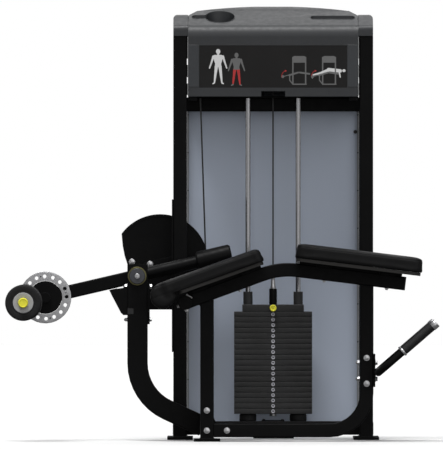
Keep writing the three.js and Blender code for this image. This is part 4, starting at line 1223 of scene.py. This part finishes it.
def make_stack_trim():
    """The stem's black sleeve, the cable with its end fitting, and the bolts of the pulleys."""
    stem = at(0, 530, 0)
    rim = [(14.6, 566), (14.0, 567.4), (7.3, 567.4), (7.3, 566.6)]
    sleeve = [(13.6, 507.6), (14.6, 507.6), *rim, (13.6, 566.6)]
    lathe("stem_sleeve", sleeve, stem, UP, "black_paint", "lift", 40)
    fitting = [(7.2, 567.6), (10.5, 567.6), (10.5, 575), (8.8, 578), (8.4, 596), (7.2, 600)]
    lathe("cable_fitting", fitting, stem, UP, "bright_steel", "lift", 36)
    run = [at(0, 530, CABLE_LOW + (CABLE_HIGH - CABLE_LOW) * k / 12) for k in range(13)]
    cable = tube("cable_down", run, 0.0029, "coated_cable", "root", 14)
    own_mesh(cable)
    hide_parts("cable_stack_run")
    for k, x in enumerate(PULLEYS_X):
        for end, side in ENDS:
            bolt(f"pulley_bolt_{k}_{end}", at(x, 530 + side * 16.6, 1390), (0, side, 0), 17, 6, 24)


make_pin_bushes()
make_stack_trim()

# ---------------------------------------------------------------- weld beads


WELD_SIDES = 7


def weld(name, loop, radius=2.0, body="root"):
    """A rippled bead along a closed loop of points in metres."""
    spread = [Vector(p) for p in loop]
    points = []
    for a, b in zip(spread, spread[1:] + spread[:1]):
        steps = max(1, round((b - a).length / 0.0022))
        points += [a.lerp(b, k / steps) for k in range(steps)]
    bm = bmesh.new()
    add_tube(bm, points, radius * MM, WELD_SIDES, closed=True)
    for k, vertex in enumerate(bm.verts):
        centre = points[k // WELD_SIDES]
        ripple = 1 + 0.13 * math.sin(k // WELD_SIDES * 2.1) + random.uniform(-0.04, 0.04)
        vertex.co = centre + (vertex.co - centre) * ripple
    return finish_piece(mesh_object(name, bm), "black_paint", body, 60)


def square_loop(point, x_axis, y_axis, width, height, corner=5.0):
    """A round-cornered rectangle about a point, in the plane of two directions; sizes in mm."""
    x, y = Vector(x_axis), Vector(y_axis)
    return [point + x * a + y * b for a, b in rounded_outline(width * MM, height * MM, corner * MM, 4)]


def ring_loop(point, axis, radius, steps=48):
    place = Matrix.Translation(point) @ facing(axis)
    return [place @ Vector((radius * MM * math.cos(2 * math.pi * k / steps),
                            radius * MM * math.sin(2 * math.pi * k / steps), 0)) for k in range(steps)]


def make_welds():
    random.seed(11)
    for k, (x, y) in enumerate(((-350.4, 400), (350.4, 400), (-350.4, 660), (350.4, 660), (-248.5, 0))):
        weld(f"foot_weld_{k}", square_loop(at(x, y, 11.2), EAST, BACK, 51.6, 51.6))
    for name, side in SIDES:
        for k, y in enumerate((426.6, 633.4)):
            weld(f"rail_weld_{name}_{k}", square_loop(at(side * 350.4, y, 40.8), EAST, UP, 51, 51.2), 1.8)
    weld("bearing_weld", ring_loop(at(-510, 159.6, 616.2), BACK, 33.4), 1.8)
    weld("handle_weld_front", square_loop(at(380.2, -14, 257.6), BACK, UP, 1, 26), 1.6)
    hub = [on_arm(x, 255 + y, z) for x, y, z in ((-33, -24.5, -24.5), (-33, 24.5, -24.5), (-33, 24.5, 24.5),
                                                  (-33, -24.5, 24.5))]
    weld("arm_weld", hub, 1.8, "arm")
    weld("stub_weld", ring_loop(on_arm(31.5, 255, 0), ARM_MATRIX.to_3x3() @ Vector(EAST), 25), 1.8, "arm")
    cross = at(*CROSS_TUBE)
    for name, side in ENDS:
        weld(f"cross_weld_{name}", ring_loop(cross + Vector((0, side * 26 * MM, 0)), BACK, 26.2), 1.6)


make_welds()
